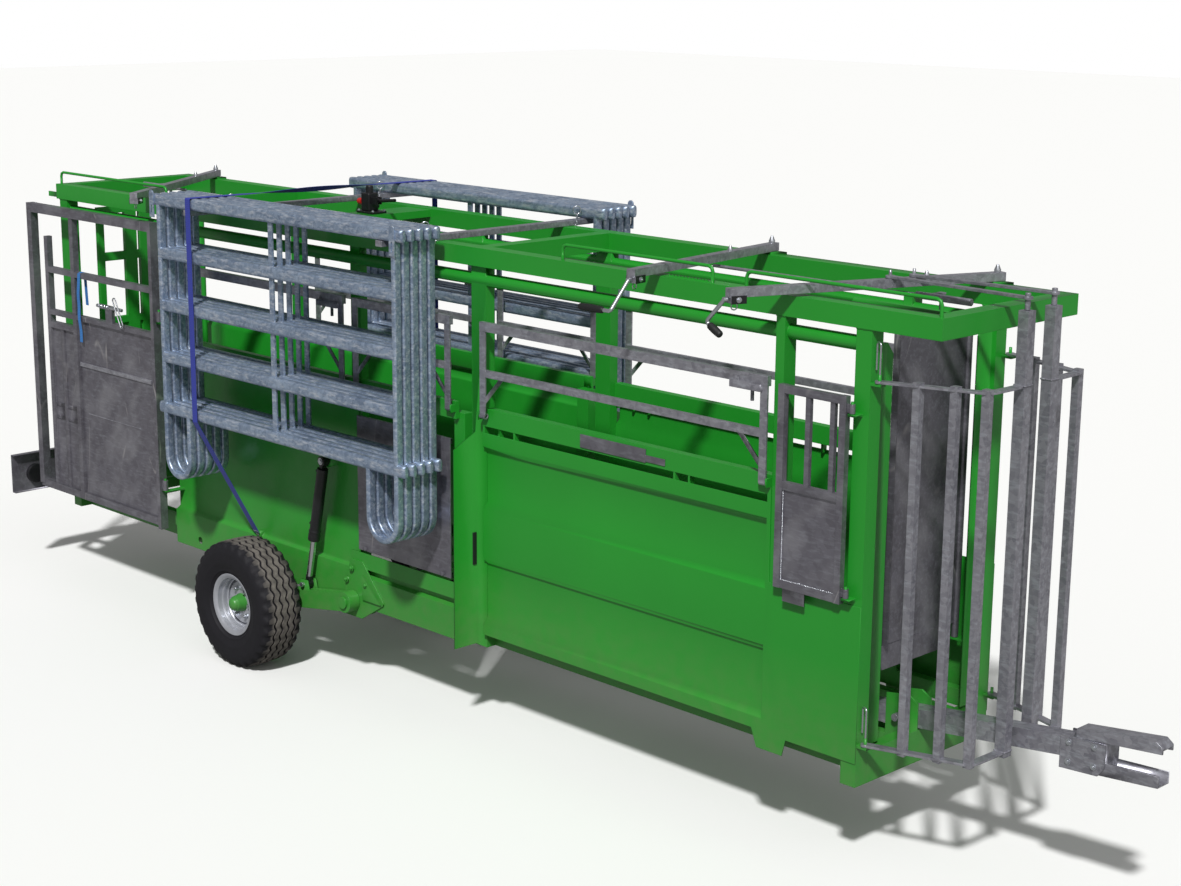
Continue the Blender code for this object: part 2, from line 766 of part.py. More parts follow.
def rear_panel(side):
    """The rear side wall with its sill, waist rail, hook and cylinder boss."""
    fold = HALF_WIDTH - FOLD_DEPTH
    rear = GATE_POST_X if side == NEAR else REAR_POST_X + POST_WIDTH + FIT
    front = SHORT_POST_X + POST_WIDTH / 2
    wall_front = SIDE_DOOR_REAR - 0.04 if side == NEAR else front
    wall = [
        (HALF_WIDTH, WALL_BOTTOM),
        (HALF_WIDTH, 0.235),
        (fold, 0.255),
        (fold, 1.10),
        (HALF_WIDTH, 1.13),
        (HALF_WIDTH, WAIST_BOTTOM + 0.01),
    ]
    pieces = [folded(wall, SHEET, side, (rear, wall_front))]
    sill = [
        (HALF_WIDTH, WALL_BOTTOM),
        (HALF_WIDTH, 0.205),
        (fold, 0.215),
        (fold, 0.24),
        (HALF_WIDTH, 0.25),
        (HALF_WIDTH, SIDE_DOOR_BOTTOM - 0.012),
    ]
    if side == NEAR:
        pieces.append(folded(sill, SHEET, side, (wall_front - 0.02, front)))
        pieces.append(
            block(
                (wall_front - 0.02, wall_front + 0.03),
                out(side, fold - SHEET, fold),
                (0.24, WAIST_BOTTOM + 0.01),
            )
        )
    pieces.append(
        block(
            (rear, front),
            out(side, HALF_WIDTH - WAIST_DEPTH + 0.012, HALF_WIDTH),
            (WAIST_BOTTOM, WAIST_TOP),
        )
    )
    pieces += pivot_lugs(side, SIDE_DOOR_REAR + 0.01, front)
    pieces += pivot_lugs(side, GATE_POST_X + POST_WIDTH + 0.01, SIDE_DOOR_REAR - 0.05)
    pieces.append(
        rod(
            (CYLINDER_TOP_X, side * (fold - 0.003), CYLINDER_TOP_Z),
            (CYLINDER_TOP_X, side * 0.498, CYLINDER_TOP_Z),
            0.04,
        )
    )
    pieces.append(
        rod(
            (CYLINDER_TOP_X, side * 0.49, CYLINDER_TOP_Z),
            (CYLINDER_TOP_X, side * 0.546, CYLINDER_TOP_Z),
            0.012,
        )
    )
    ring = [
        (HOOK_X - 0.02, HOOK_Z),
        (HOOK_X - 0.02, HOOK_Z - 0.03),
        (HOOK_X + 0.02, HOOK_Z - 0.03),
        (HOOK_X + 0.02, HOOK_Z),
    ]
    pieces.append(plate(ring, "Y", *out(side, fold - 0.003, HALF_WIDTH + 0.006)))
    if side == NEAR:
        pieces += gate_lug(side, GATE_HINGES[0], fold - 0.003)
    hole = rod((-4.85, side * (HALF_WIDTH - 0.02), 0.09), (-4.85, side * (HALF_WIDTH + 0.02), 0.09), 0.022)
    cuts = [hole]
    for x in (GATE_POST_X, AXLE_POST_X):
        cuts.append(
            block((x - FIT, x + POST_WIDTH + FIT), out(side, POST_INNER, fold - SHEET), (0, RAIL_TOP))
        )
    cuts.append(
        block(
            (SHORT_POST_X - FIT, MIDDLE_POST_X + FIT),
            out(side, POST_INNER, POST_FACE - 0.02 + FIT),
            (0, RAIL_TOP),
        )
    )
    cuts.append(
        block(
            (SIDE_DOOR_REAR - 0.03, SIDE_DOOR_FRONT),
            out(side, POST_INNER, fold - SHEET),
            (0, SIDE_DOOR_TOP),
        )
    )
    return weld(named(side, "rear_panel"), GREEN, pieces, cuts)


def side_door():
    """The galvanised door under the waist rail, on two bolts at its lower corners."""
    side = NEAR
    rear, front = SIDE_DOOR_REAR, SHORT_POST_X - 0.012
    outer = HALF_WIDTH - 0.004
    inner = outer - SIDE_DOOR_SHEET
    pieces = [block((rear, front), out(side, inner, outer), (SIDE_DOOR_BOTTOM, SIDE_DOOR_TOP))]
    rim = out(side, inner - 0.012, outer - 0.001)
    pieces.append(block((rear + 0.001, front - 0.001), rim, (SIDE_DOOR_TOP - 0.03, SIDE_DOOR_TOP - 0.001)))
    pieces.append(
        block((rear + 0.001, front - 0.001), rim, (SIDE_DOOR_BOTTOM + 0.001, SIDE_DOOR_BOTTOM + 0.03))
    )
    for x in (rear + 0.06, front - 0.06):
        head = (x, side * (outer + 0.012), SIDE_DOOR_BOTTOM + 0.016)
        pieces.append(rod((x, side * (outer - 0.004), head[2]), head, 0.012, 8))
    pivot = (rear, side * (outer - 0.01), SIDE_DOOR_BOTTOM + 0.016)
    return weld("side_door", GALVANISED, pieces, (), pivot)


def base_frame():
    """Cross members, runners, the front sill, the drawbar socket and the arm brackets."""
    inner = HALF_WIDTH - POST_DEPTH - FIT
    level = (FOOT_HEIGHT, FOOT_HEIGHT + 0.07)
    pieces = []
    for side in (NEAR, FAR):
        runner = out(side, inner - RUNNER_WIDTH, inner)
        pieces.append(block((REAR_END, 0), runner, level))
    for x in (REAR_END, GATE_POST_X, AXLE_POST_X - 0.02, MIDDLE_POST_X, -1.40):
        pieces.append(block((x, x + CROSS_BAR_WIDTH), (-inner + 0.01, inner - 0.01), level))
    pieces.append(block((-0.06, 0), (-inner, inner), (0, 0.148)))
    for side in (NEAR, FAR):
        cheek = [(-0.17, 0.05), (0, 0.05), (0, 0.27), (-0.05, 0.30), (-0.17, 0.28)]
        pieces.append(plate(cheek, "Y", *out(side, DRAWBAR / 2 + PLAY, DRAWBAR / 2 + PLAY + 0.008)))
    pieces.append(block((-0.62, -0.16), (-0.05, 0.05), (FOOT_HEIGHT, FOOT_HEIGHT + 0.05)))
    pieces.append(block((-0.64, -0.60), (-inner + 0.01, inner - 0.01), level))
    rear, front, above = DRAWBAR_REAR - 0.06, 0.05, 0.4
    deep = DRAWBAR / math.cos(DRAWBAR_PITCH) + PLAY
    bed = [
        (rear, drawbar_top(rear) - deep),
        (front, drawbar_top(front) - deep),
        (front, above),
        (rear, above),
    ]
    cuts = [plate(bed, "Y", -DRAWBAR / 2 - PLAY, DRAWBAR / 2 + PLAY)]
    pin_hole = rod(
        (DRAWBAR_PIN_X, -0.2, DRAWBAR_PIN_Z),
        (DRAWBAR_PIN_X, 0.2, DRAWBAR_PIN_Z),
        DRAWBAR_PIN_RADIUS + PLAY,
    )
    cuts.append(pin_hole)
    for side in (NEAR, FAR):
        pieces += arm_bracket(side)
    pieces.append(block((-0.63, -0.61), (-0.055, 0.055), (FOOT_HEIGHT, 0.13)))
    return weld("base_frame", GREEN, pieces, cuts)


def drawbar_top(x):
    return DRAWBAR_TOP_AT_POSTS + x * math.tan(DRAWBAR_PITCH)


def arm_bracket(side):
    """The outrigger under the wall, the gusset plate, its bolts and the pivot pin of one swing arm."""
    x, z = ARM_PIVOT_X, ARM_PIVOT_Z
    inner = HALF_WIDTH + FIT
    root = HALF_WIDTH - POST_DEPTH - FIT
    pieces = [
        block((x - 0.04, x + 0.04), out(side, root - 0.03, inner + 0.004), (-0.03, WALL_BOTTOM - FIT))
    ]
    pieces.append(
        block((x - 0.04, x + 0.04), out(side, root - 0.03, root - 0.002), (-0.03, FOOT_HEIGHT + 0.02))
    )
    gusset = [(x - 0.07, -0.03), (x + 0.07, -0.03), (x + 0.25, 0.08), (x + 0.25, 0.10)]
    gusset += [(x + 0.08, 0.29), (x - 0.02, 0.29), (x - 0.07, 0.12)]
    pieces.append(plate(gusset, "Y", *out(side, inner, inner + 0.008)))
    tip = ARM_INNER + ARM_WIDTH + 0.012
    pieces.append(rod((x, side * (inner + 0.001), z), (x, side * tip, z), ARM_BORE_RADIUS - PLAY, 16))
    pieces.append(rod((x, side * (ARM_INNER + ARM_WIDTH + PLAY), z), (x, side * tip, z), 0.034, 16))
    for dx, bolt_z in ((-0.045, 0.17), (0.0, 0.24), (0.12, 0.17)):
        start = (x + dx, side * (inner + 0.004), bolt_z)
        pieces.append(rod(start, (start[0], side * (inner + 0.018), bolt_z), 0.013, 8))
    rib = [(x + 0.09, 0.085), (x + 0.24, 0.085), (x + 0.09, 0.22)]
    pieces.append(plate(rib, "Y", *out(side, inner + 0.004, inner + 0.02)))
    return pieces


def arm(side):
    """The swing arm with its pivot boss, stub axle and cylinder lugs."""
    y = side * ARM_MIDDLE
    pivot = Vector((ARM_PIVOT_X, y, ARM_PIVOT_Z))
    axle = Vector((AXLE_X, y, AXLE_Z))
    pieces = [bar(pivot, axle, ARM_WIDTH, ARM_HEIGHT, Y_AXIS)]
    span = out(side, ARM_INNER, ARM_INNER + ARM_WIDTH)
    boss = ARM_HEIGHT / 2 + 0.008
    pieces.append(rod((pivot.x, span[0], pivot.z), (pivot.x, span[1], pivot.z), boss, 20))
    pieces.append(rod((axle.x, span[0], axle.z), (axle.x, span[1], axle.z), boss, 20))
    pieces.append(
        rod(
            (axle.x, side * (ARM_INNER + 0.02), axle.z),
            (axle.x, side * (WHEEL_OUT + 0.03), axle.z),
            STUB_RADIUS,
            16,
        )
    )
    eye = (CYLINDER_EYE_X, CYLINDER_EYE_Z)
    lug = [
        (eye[0] - 0.05, eye[1] - 0.08),
        (eye[0] + 0.05, eye[1] - 0.08),
        (eye[0] + 0.03, eye[1] + 0.025),
        (eye[0] - 0.03, eye[1] + 0.025),
    ]
    for inner in (ARM_INNER + 0.001, ARM_INNER + ARM_WIDTH - 0.011):
        pieces.append(plate(lug, "Y", *out(side, inner, inner + 0.010)))
    bore = ARM_BORE_RADIUS
    cuts = [rod((pivot.x, side * (ARM_INNER - 0.02), pivot.z), (pivot.x, side * 0.60, pivot.z), bore, 16)]
    return weld(
        named(side, "arm"),
        GREEN,
        pieces,
        cuts,
        (ARM_PIVOT_X, side * ARM_MIDDLE, ARM_PIVOT_Z),
        True,
    )


def tyre(side):
    """An open-bottomed rubber ring over the rim."""
    half = TYRE_WIDTH / 2
    outer = [
        (RIM_RADIUS + FIT, half * 0.74),
        (FLANGE_RADIUS + 0.006, half * 0.74),
        (TYRE_RADIUS * 0.78, half),
        (TYRE_RADIUS * 0.945, half * 0.93),
        (TYRE_RADIUS, half * 0.62),
    ]
    profile = outer + [(r, -a) for r, a in reversed(outer)]
    bead = half * 0.60
    inner = [
        (RIM_RADIUS + FIT, -bead),
        (TYRE_RADIUS * 0.70, -half + TYRE_WALL * 1.5),
        (TYRE_RADIUS - TYRE_WALL * 1.8, -half * 0.7),
    ]
    profile += inner + [(r, -a) for r, a in reversed(inner)]
    ring = turned(profile, (AXLE_X, side * WHEEL_OUT, AXLE_Z), Y_AXIS, 24)
    return weld(named(side, "tyre"), RUBBER, [ring], (), (AXLE_X, side * WHEEL_OUT, AXLE_Z), True)


def rim(side):
    """Rim, dished disc and hub with its blind bearing bore."""
    seat = TYRE_WIDTH / 2 * 0.74
    lip = seat + 0.003
    wall = 0.006
    disc = 0.035
    well = RIM_RADIUS - 0.012
    profile = [
        (STUB_RADIUS + PLAY, -0.07),
        (0.055, -0.07),
        (0.055, disc - 0.012),
        (well - wall, disc - 0.03),
        (RIM_RADIUS - wall, -lip - 0.005),
        (FLANGE_RADIUS, -lip - 0.005),
        (FLANGE_RADIUS, -lip),
        (RIM_RADIUS, -lip),
        (RIM_RADIUS, lip),
        (FLANGE_RADIUS, lip),
        (FLANGE_RADIUS, lip + 0.005),
        (RIM_RADIUS - wall, lip + 0.005),
        (well - wall, disc - 0.018),
        (0.115, disc),
        (0.052, disc),
        (0.040, disc + 0.065),
        (0, disc + 0.075),
        (0, 0.034),
        (STUB_RADIUS + PLAY, 0.034),
    ]
    centre = (AXLE_X, side * WHEEL_OUT, AXLE_Z)
    profile = [(radius, side * along) for radius, along in profile]
    pieces = [turned(profile, centre, Y_AXIS, 24)]
    for k in range(6):
        angle = math.tau * (k + 0.5) / 6
        x = AXLE_X + 0.0825 * math.cos(angle)
        z = AXLE_Z + 0.0825 * math.sin(angle)
        start = side * (WHEEL_OUT + disc - 0.006)
        pieces.append(rod((x, start, z), (x, side * (WHEEL_OUT + disc + 0.016), z), 0.012, 6))
    return weld(named(side, "wheel_rim"), WHEEL_PAINT, pieces, (), centre, True)


def barrel(side):
    """The black cylinder barrel, open at its lower end, with the top eye."""
    top = Vector((CYLINDER_TOP_X, side * 0.523, CYLINDER_TOP_Z))
    eye = Vector((CYLINDER_EYE_X, side * 0.523, CYLINDER_EYE_Z))
    way = (eye - top).normalized()
    bore = ROD_RADIUS + PLAY
    profile = [
        (0, BARREL_NECK - 0.01),
        (BARREL_RADIUS * 0.6, BARREL_NECK - 0.01),
        (BARREL_RADIUS * 0.9, BARREL_NECK),
        (BARREL_RADIUS * 0.9, BARREL_NECK + BARREL_LENGTH - 0.06),
        (BARREL_RADIUS, BARREL_NECK + BARREL_LENGTH - 0.055),
        (BARREL_RADIUS, BARREL_NECK + BARREL_LENGTH),
        (bore, BARREL_NECK + BARREL_LENGTH),
        (bore, BARREL_NECK + 0.03),
        (0, BARREL_NECK + 0.03),
    ]
    pieces = [turned(profile, top, way, 16)]
    eye_ring = [(0.0135, -0.021), (0.028, -0.021), (0.028, 0.021), (0.0135, 0.021)]
    pieces.append(turned(eye_ring, top, Y_AXIS, 16))
    pieces.append(
        block(
            (top.x - 0.012, top.x + 0.012),
            (top.y - 0.015, top.y + 0.015),
            (top.z - 0.055, top.z - 0.022),
        )
    )
    return weld(named(side, "cylinder_barrel"), BLACK, pieces, (), tuple(top), True)


def piston_rod(side):
    """The chromed rod with its lower eye."""
    top = Vector((CYLINDER_TOP_X, side * 0.523, CYLINDER_TOP_Z))
    eye = Vector((CYLINDER_EYE_X, side * 0.523, CYLINDER_EYE_Z))
    way = (eye - top).normalized()
    start = top + way * (BARREL_NECK + 0.03 + ROD_TRAVEL)
    pieces = [rod(start, eye - way * 0.015, ROD_RADIUS, 16)]
    pieces.append(
        turned([(0.009, -0.018), (0.024, -0.018), (0.024, 0.018), (0.009, 0.018)], eye, Y_AXIS, 16)
    )
    return weld(named(side, "cylinder_rod"), CHROME, pieces, (), tuple(eye), True)


def wing(side):
    """One leaf of the head yoke: two bent flats, three uprights and the tall bar."""
    hinge = (WING_HINGE_X, side * WING_HINGE_OUT)
    corner = (WING_CORNER_X, side * WING_CORNER_OUT)
    tip = (WING_CORNER_X + 0.005, side * TALL_BAR_OUT)
    pieces, cuts = [], []
    for z in (WING_TOP_Z, WING_BOTTOM_Z):
        path = [(*hinge, z), (*corner, z), (*tip, z)]
        start = Vector(path[0])
        start += (Vector(path[1]) - start).normalized() * 0.012
        bend = rounded([start, path[1], path[2]], 0.03, 3)
        pieces.append(sweep(bend, oblong(WING_FLAT, WING_FLAT_WIDTH), Z_AXIS))
        low = (hinge[0], hinge[1], z - WING_FLAT / 2)
        pieces.append(rod(low, (hinge[0], hinge[1], z + WING_FLAT / 2), 0.02, 16))
        cuts.append(
            rod((hinge[0], hinge[1], z - 0.02), (hinge[0], hinge[1], z + 0.02), PIVOT_PIN_RADIUS + PLAY, 12)
        )
    half = WING_UPRIGHT / 2
    for share in (0.36, 0.70, 0.985):
        x = hinge[0] + share * (corner[0] - hinge[0])
        y = hinge[1] + share * (corner[1] - hinge[1])
        pieces.append(
            block((x - half, x + half), (y - half, y + half), (WING_BOTTOM_Z - 0.015, WING_TOP_Z + 0.015))
        )
    half = TALL_BAR / 2
    pieces.append(
        block(
            (tip[0] - half, tip[0] + half),
            (tip[1] - half, tip[1] + half),
            (TALL_BAR_BOTTOM, TALL_BAR_TOP),
        )
    )
    return weld(named(side, "yoke_wing"), GALVANISED, pieces, cuts, (hinge[0], hinge[1], TALL_BAR_BOTTOM))


def lever(name, pivot, end, joints):
    """A flat-topped lever with its pivot bore, latch box and rod joint bolts."""
    start = Vector((*pivot, LEVER_BOTTOM + LEVER_HEIGHT / 2))
    finish = Vector((*end, LEVER_BOTTOM + LEVER_HEIGHT / 2))
    way = (finish - start).normalized()
    across = way.cross(Z_AXIS)
    pieces = [bar(start - way * 0.03, finish, LEVER_WIDTH, LEVER_HEIGHT, across)]
    for y in joints:
        x, y = along_lever(pivot, end, y)
        tip = LEVER_TOP + 2 * PUSH_ROD_HEIGHT + 0.012
        pieces.append(rod((x, y, LEVER_TOP - 0.012), (x, y, tip), 0.007, 8))
    box_start = finish - way * 0.075
    drop = Vector((0, 0, -0.028))
    pieces.append(bar(box_start + drop, finish - way * 0.003 + drop, 0.05, 0.03, across))
    cuts = [rod((*pivot, LEVER_BOTTOM - 0.02), (*pivot, LEVER_TOP + 0.02), LEVER_PIN_RADIUS + PLAY, 12)]
    return weld(name, GALVANISED, pieces, cuts, (*pivot, LEVER_BOTTOM))


def handle(name, pivot, end, crank, grip):
    """The bent crank under a lever's near end, with its black grip."""
    way = (Vector((*end, 0)) - Vector((*pivot, 0))).normalized()
    origin = Vector((*end, LEVER_BOTTOM - 0.008)) + way * PLAY
    elbow = origin + way * 0.014
    bottom = elbow + Vector(crank)
    tip = bottom + Vector(grip)
    pieces = [rod(origin, origin + way * 0.022, 0.011, 8)]
    pieces.append(rod(elbow, bottom, 0.008, 8))
    pieces.append(rod(bottom - Vector(grip).normalized() * 0.007, tip, 0.0075, 8))
    pieces.append(rod(bottom.lerp(tip, 0.2), tip + Vector(grip).normalized() * 0.004, 0.015, 10))
    return weld(name, BLACK, pieces, (), tuple(origin), True)


def push_rod(side):
    """The flat link from the yoke lever to the top of one tall bar."""
    y = YOKE_JOINT_NEAR_Y if side == NEAR else YOKE_JOINT_FAR_Y
    x, y = along_lever(YOKE_LEVER_PIVOT, YOKE_LEVER_END, y)
    z = LEVER_TOP + PLAY + PUSH_ROD_HEIGHT / 2
    start = Vector((x, y, z))
    finish = Vector((WING_CORNER_X + 0.005, side * TALL_BAR_OUT, max(z, TALL_BAR_TOP + PUSH_ROD_FOOT)))
    pieces = [bar(start, finish, 0.028, PUSH_ROD_HEIGHT, (finish - start).cross(Z_AXIS))]
    for point in (start, finish):
        pieces.append(
            rod(point - Z_AXIS * PUSH_ROD_HEIGHT / 2, point + Z_AXIS * PUSH_ROD_HEIGHT / 2, 0.021, 14)
        )
    foot = Vector((finish.x, finish.y, TALL_BAR_TOP + PLAY))
    pieces.append(rod(foot, finish + Z_AXIS * 0.02, 0.012, 10))
    cuts = [rod(start - Z_AXIS * 0.02, start + Z_AXIS * 0.02, 0.007 + PLAY, 10)]
    return weld(named(side, "push_rod"), GALVANISED, pieces, cuts, tuple(start), True)


def door_rod(name, joint, tube, door):
    """The rod under a lever that slides along the race and moves a door by its drop pin."""
    x, y = joint
    tube_rear, tube_front = tube
    door_x, drop_y, door_top = door
    way = 1 if door_x > x else -1
    z = DOOR_ROD_Z
    near_tube = tube_rear if way > 0 else tube_front
    pieces = [rod((x - way * 0.03, y, z), (near_tube + way * 0.01, y, z), DOOR_ROD_RADIUS, 8)]
    pieces.append(rod((tube_rear, y, z), (tube_front, y, z), GUIDE_TUBE_RADIUS, 12))
    pieces.append(
        block((door_x - 0.015, door_x + 0.015), (y - 0.005, drop_y + 0.012), (z - 0.014, z - 0.004))
    )
    pieces.append(rod((door_x, drop_y, z - 0.006), (door_x, drop_y, door_top + 2 * PLAY), 0.009, 8))
    return weld(name, GALVANISED, pieces, (), (door_x, y, z), True)


def hinge_tube(x, low, high):
    """The bored tube on a swinging door's far edge."""
    y = DOOR_HINGE_OUT
    tube = rod((x, y, low), (x, y, high), DOOR_TUBE_RADIUS, 14)
    return tube, rod((x, y, low - 0.01), (x, y, high + 0.01), PIVOT_PIN_RADIUS + PLAY, 12)


def front_door():
    """The galvanised front door: a tall folded sheet on a kick plate."""
    top_lug = SIDE_TUBE_Z - SIDE_TUBE_RADIUS - 0.02
    tube, bore = hinge_tube(FRONT_DOOR_X, FRONT_DOOR_BOTTOM - 0.08 + PLAY, top_lug - PLAY)
    x = FRONT_DOOR_X
    sheet_edge = DOOR_HINGE_OUT - 0.01
    pieces = [
        tube,
        block(
            (x - SHEET / 2, x + SHEET / 2),
            (FRONT_DOOR_FREE_Y, sheet_edge),
            (FRONT_DOOR_BOTTOM - 0.01, FRONT_DOOR_TOP),
        ),
    ]
    pieces.append(
        block(
            (x - SHEET / 2, x + 0.03),
            (FRONT_DOOR_FREE_Y, FRONT_DOOR_FREE_Y + SHEET),
            (FRONT_DOOR_BOTTOM, FRONT_DOOR_TOP),
        )
    )
    low = FRONT_DOOR_BOTTOM - 0.11
    kick = [
        (FRONT_DOOR_FREE_Y - 0.03, FRONT_DOOR_BOTTOM),
        (FRONT_DOOR_FREE_Y, low),
        (0.33, low),
        (0.33, FRONT_DOOR_BOTTOM),
    ]
    pieces.append(plate(kick, "X", x - 0.005, x + 0.005))
    for z in (0.90, 1.35):
        pieces.append(block((x - 0.02, x), (FRONT_DOOR_FREE_Y + 0.01, sheet_edge), (z, z + 0.03)))
    cuts = [bore, lug_notch(x, top_lug - PLAY, RAIL_TOP)]
    return weld("front_door", GALVANISED, pieces, cuts, (x, DOOR_HINGE_OUT, FRONT_DOOR_BOTTOM))


def lug_notch(x, low, high):
    """The corner taken off a door where its hinge lug stands."""
    return block((x - 0.05, x + 0.05), (DOOR_HINGE_OUT - 0.05, HALF_WIDTH), (low, high))


def rear_door():
    """The green rear door: a sheet below, two wide uprights and bars above."""
    top_lug = SIDE_TUBE_Z - SIDE_TUBE_RADIUS - 0.02
    tube, bore = hinge_tube(REAR_DOOR_X, 0.20 + PLAY, top_lug - PLAY)
    x = REAR_DOOR_X
    edge = DOOR_HINGE_OUT - 0.01
    free = -DOOR_HINGE_OUT
    pieces = [tube, block((x - 0.002, x + 0.002), (free, edge), (0.18, REAR_DOOR_SHEET_TOP))]
    bars = (
        (0.18, 0.22),
        (REAR_DOOR_SHEET_TOP - 0.04, REAR_DOOR_SHEET_TOP),
        (1.60, 1.65),
        (REAR_DOOR_TOP - 0.04, REAR_DOOR_TOP),
    )
    for low, high in bars:
        pieces.append(block((x - 0.015, x + 0.015), (free, edge), (low, high)))
    for low, high in ((free, free + 0.04), (-0.19, -0.11), (-0.085, 0.0), (0.10, 0.12)):
        pieces.append(block((x - 0.015, x + 0.015), (low, high), (0.19, REAR_DOOR_TOP - 0.01)))
    cuts = [bore, lug_notch(x, top_lug - PLAY, RAIL_TOP), lug_notch(x, 0, 0.20 + PLAY)]
    return weld("rear_door", GREEN, pieces, cuts, (x, DOOR_HINGE_OUT, 0.20))


def vet_door():
    """The small side door beside the front posts, on two upright pins."""
    side = NEAR
    y = VET_DOOR_OUT
    depth = out(side, y - VET_DOOR_THICKNESS / 2, y + VET_DOOR_THICKNESS / 2)
    thin = out(side, y - 0.013, y + 0.013)
    stile = 0.034
    pieces = [
        block((VET_DOOR_REAR, VET_DOOR_REAR + stile), depth, (VET_DOOR_BOTTOM, VET_DOOR_TOP)),
        block((VET_DOOR_FRONT - stile, VET_DOOR_FRONT), depth, (VET_DOOR_BOTTOM, VET_DOOR_TOP)),
    ]
    for z in (VET_DOOR_BOTTOM + 0.001, VET_DOOR_MIDDLE - 0.017, VET_DOOR_TOP - 0.036):
        pieces.append(block((VET_DOOR_REAR + 0.01, VET_DOOR_FRONT - 0.01), thin, (z, z + 0.035)))
    for share in (0.44, 0.80):
        x = VET_DOOR_REAR + share * (VET_DOOR_FRONT - VET_DOOR_REAR)
        pieces.append(
            block(
                (x - 0.012, x + 0.012),
                out(side, y - 0.01, y + 0.01),
                (VET_DOOR_MIDDLE, VET_DOOR_TOP - 0.01),
            )
        )
    pieces.append(
        block(
            (VET_DOOR_REAR + 0.01, VET_DOOR_FRONT - 0.01),
            out(side, y - 0.003, y + 0.003),
            (VET_DOOR_BOTTOM + 0.01, VET_DOOR_MIDDLE),
        )
    )
    pieces.append(
        block(
            (VET_DOOR_REAR + 0.05, VET_DOOR_REAR + 0.17),
            out(side, y + 0.004, y + 0.01),
            (VET_DOOR_BOTTOM - 0.055, VET_DOOR_BOTTOM + 0.02),
        )
    )
    cuts = []
    for z in (VET_DOOR_BOTTOM + 0.05, VET_DOOR_TOP - 0.05):
        pieces.append(rod((VET_HINGE_X, side * y, z - 0.02), (VET_HINGE_X, side * y, z + 0.02), 0.013, 12))
        pieces.append(
            block(
                (VET_DOOR_FRONT - 0.01, VET_HINGE_X),
                out(side, y - 0.005, y + 0.005),
                (z - 0.018, z + 0.018),
            )
        )
        cuts.append(
            rod(
                (VET_HINGE_X, side * y, z - 0.03),
                (VET_HINGE_X, side * y, z + 0.03),
                PIVOT_PIN_RADIUS + PLAY,
                12,
            )
        )
    return weld("vet_door", GALVANISED, pieces, cuts, (VET_HINGE_X, side * y, VET_DOOR_BOTTOM))


def rear_gate():
    """The long gate folded along the rear of the near side."""
    side = NEAR
    y = GATE_OUT
    half = GATE_TUBE / 2
    depth = out(side, y - half, y + half)
    thin = out(side, y - half + 0.006, y + half - 0.006)
    rear, front = GATE_REAR, GATE_FRONT
    pieces = [
        block((rear, rear + GATE_TUBE), depth, (0.17, GATE_TOP)),
        block((front - 0.03, front), depth, (0.13, GATE_TOP)),
        block(
            (rear + 0.01, front - 0.01),
            out(side, y - half + 0.001, y + half - 0.001),
            (GATE_TOP - 0.055, GATE_TOP - 0.001),
        ),
        block((rear + 0.01, front - 0.01), thin, (0.15, 0.195)),
        block((-6.27, -6.235), thin, (0.16, 1.75)),
        block((-5.975, -5.935), thin, (0.16, GATE_TOP - 0.02)),
        block((-6.26, front - 0.01), thin, (1.53, 1.565)),
        block((-6.26, front - 0.01), thin, (1.27, 1.30)),
    ]
    sheet = out(side, y - 0.003, y + 0.003)
    pieces.append(block((-5.95, front - 0.01), sheet, (0.16, 1.28)))
    pieces.append(block((-6.25, -5.95), sheet, (0.16, 1.20)))
    pieces.append(block((-6.25, -5.95), thin, (1.19, 1.225)))
    pieces.append(block((-6.13, -6.10), out(side, y - 0.01, y + 0.012), (0.16, 1.20)))
    for z in (0.62, 0.70):
        pieces.append(block((-6.25, -5.95), out(side, y - 0.01, y + 0.010), (z, z + 0.02)))
    bolt_y = side * (y + 0.012)
    pieces.append(rod((-5.69, bolt_y, 1.39), (-5.50, bolt_y, 1.39), 0.010, 8))
    pieces.append(block((-5.60, -5.53), out(side, y - 0.002, y + 0.02), (1.29, 1.40)))
    cuts = []
    for z in GATE_HINGES:
        pieces.append(
            rod((GATE_HINGE_X, side * y, z - 0.03), (GATE_HINGE_X, side * y, z + 0.03), KNUCKLE_RADIUS, 12)
        )
        pieces.append(
            block((front - 0.01, GATE_HINGE_X), out(side, y - 0.005, y + 0.005), (z - 0.025, z + 0.025))
        )
        cuts.append(
            rod(
                (GATE_HINGE_X, side * y, z - 0.04),
                (GATE_HINGE_X, side * y, z + 0.04),
                PIVOT_PIN_RADIUS + PLAY,
                12,
            )
        )
    return weld("rear_gate", GALVANISED, pieces, cuts, (GATE_HINGE_X, side * y, 0.17))


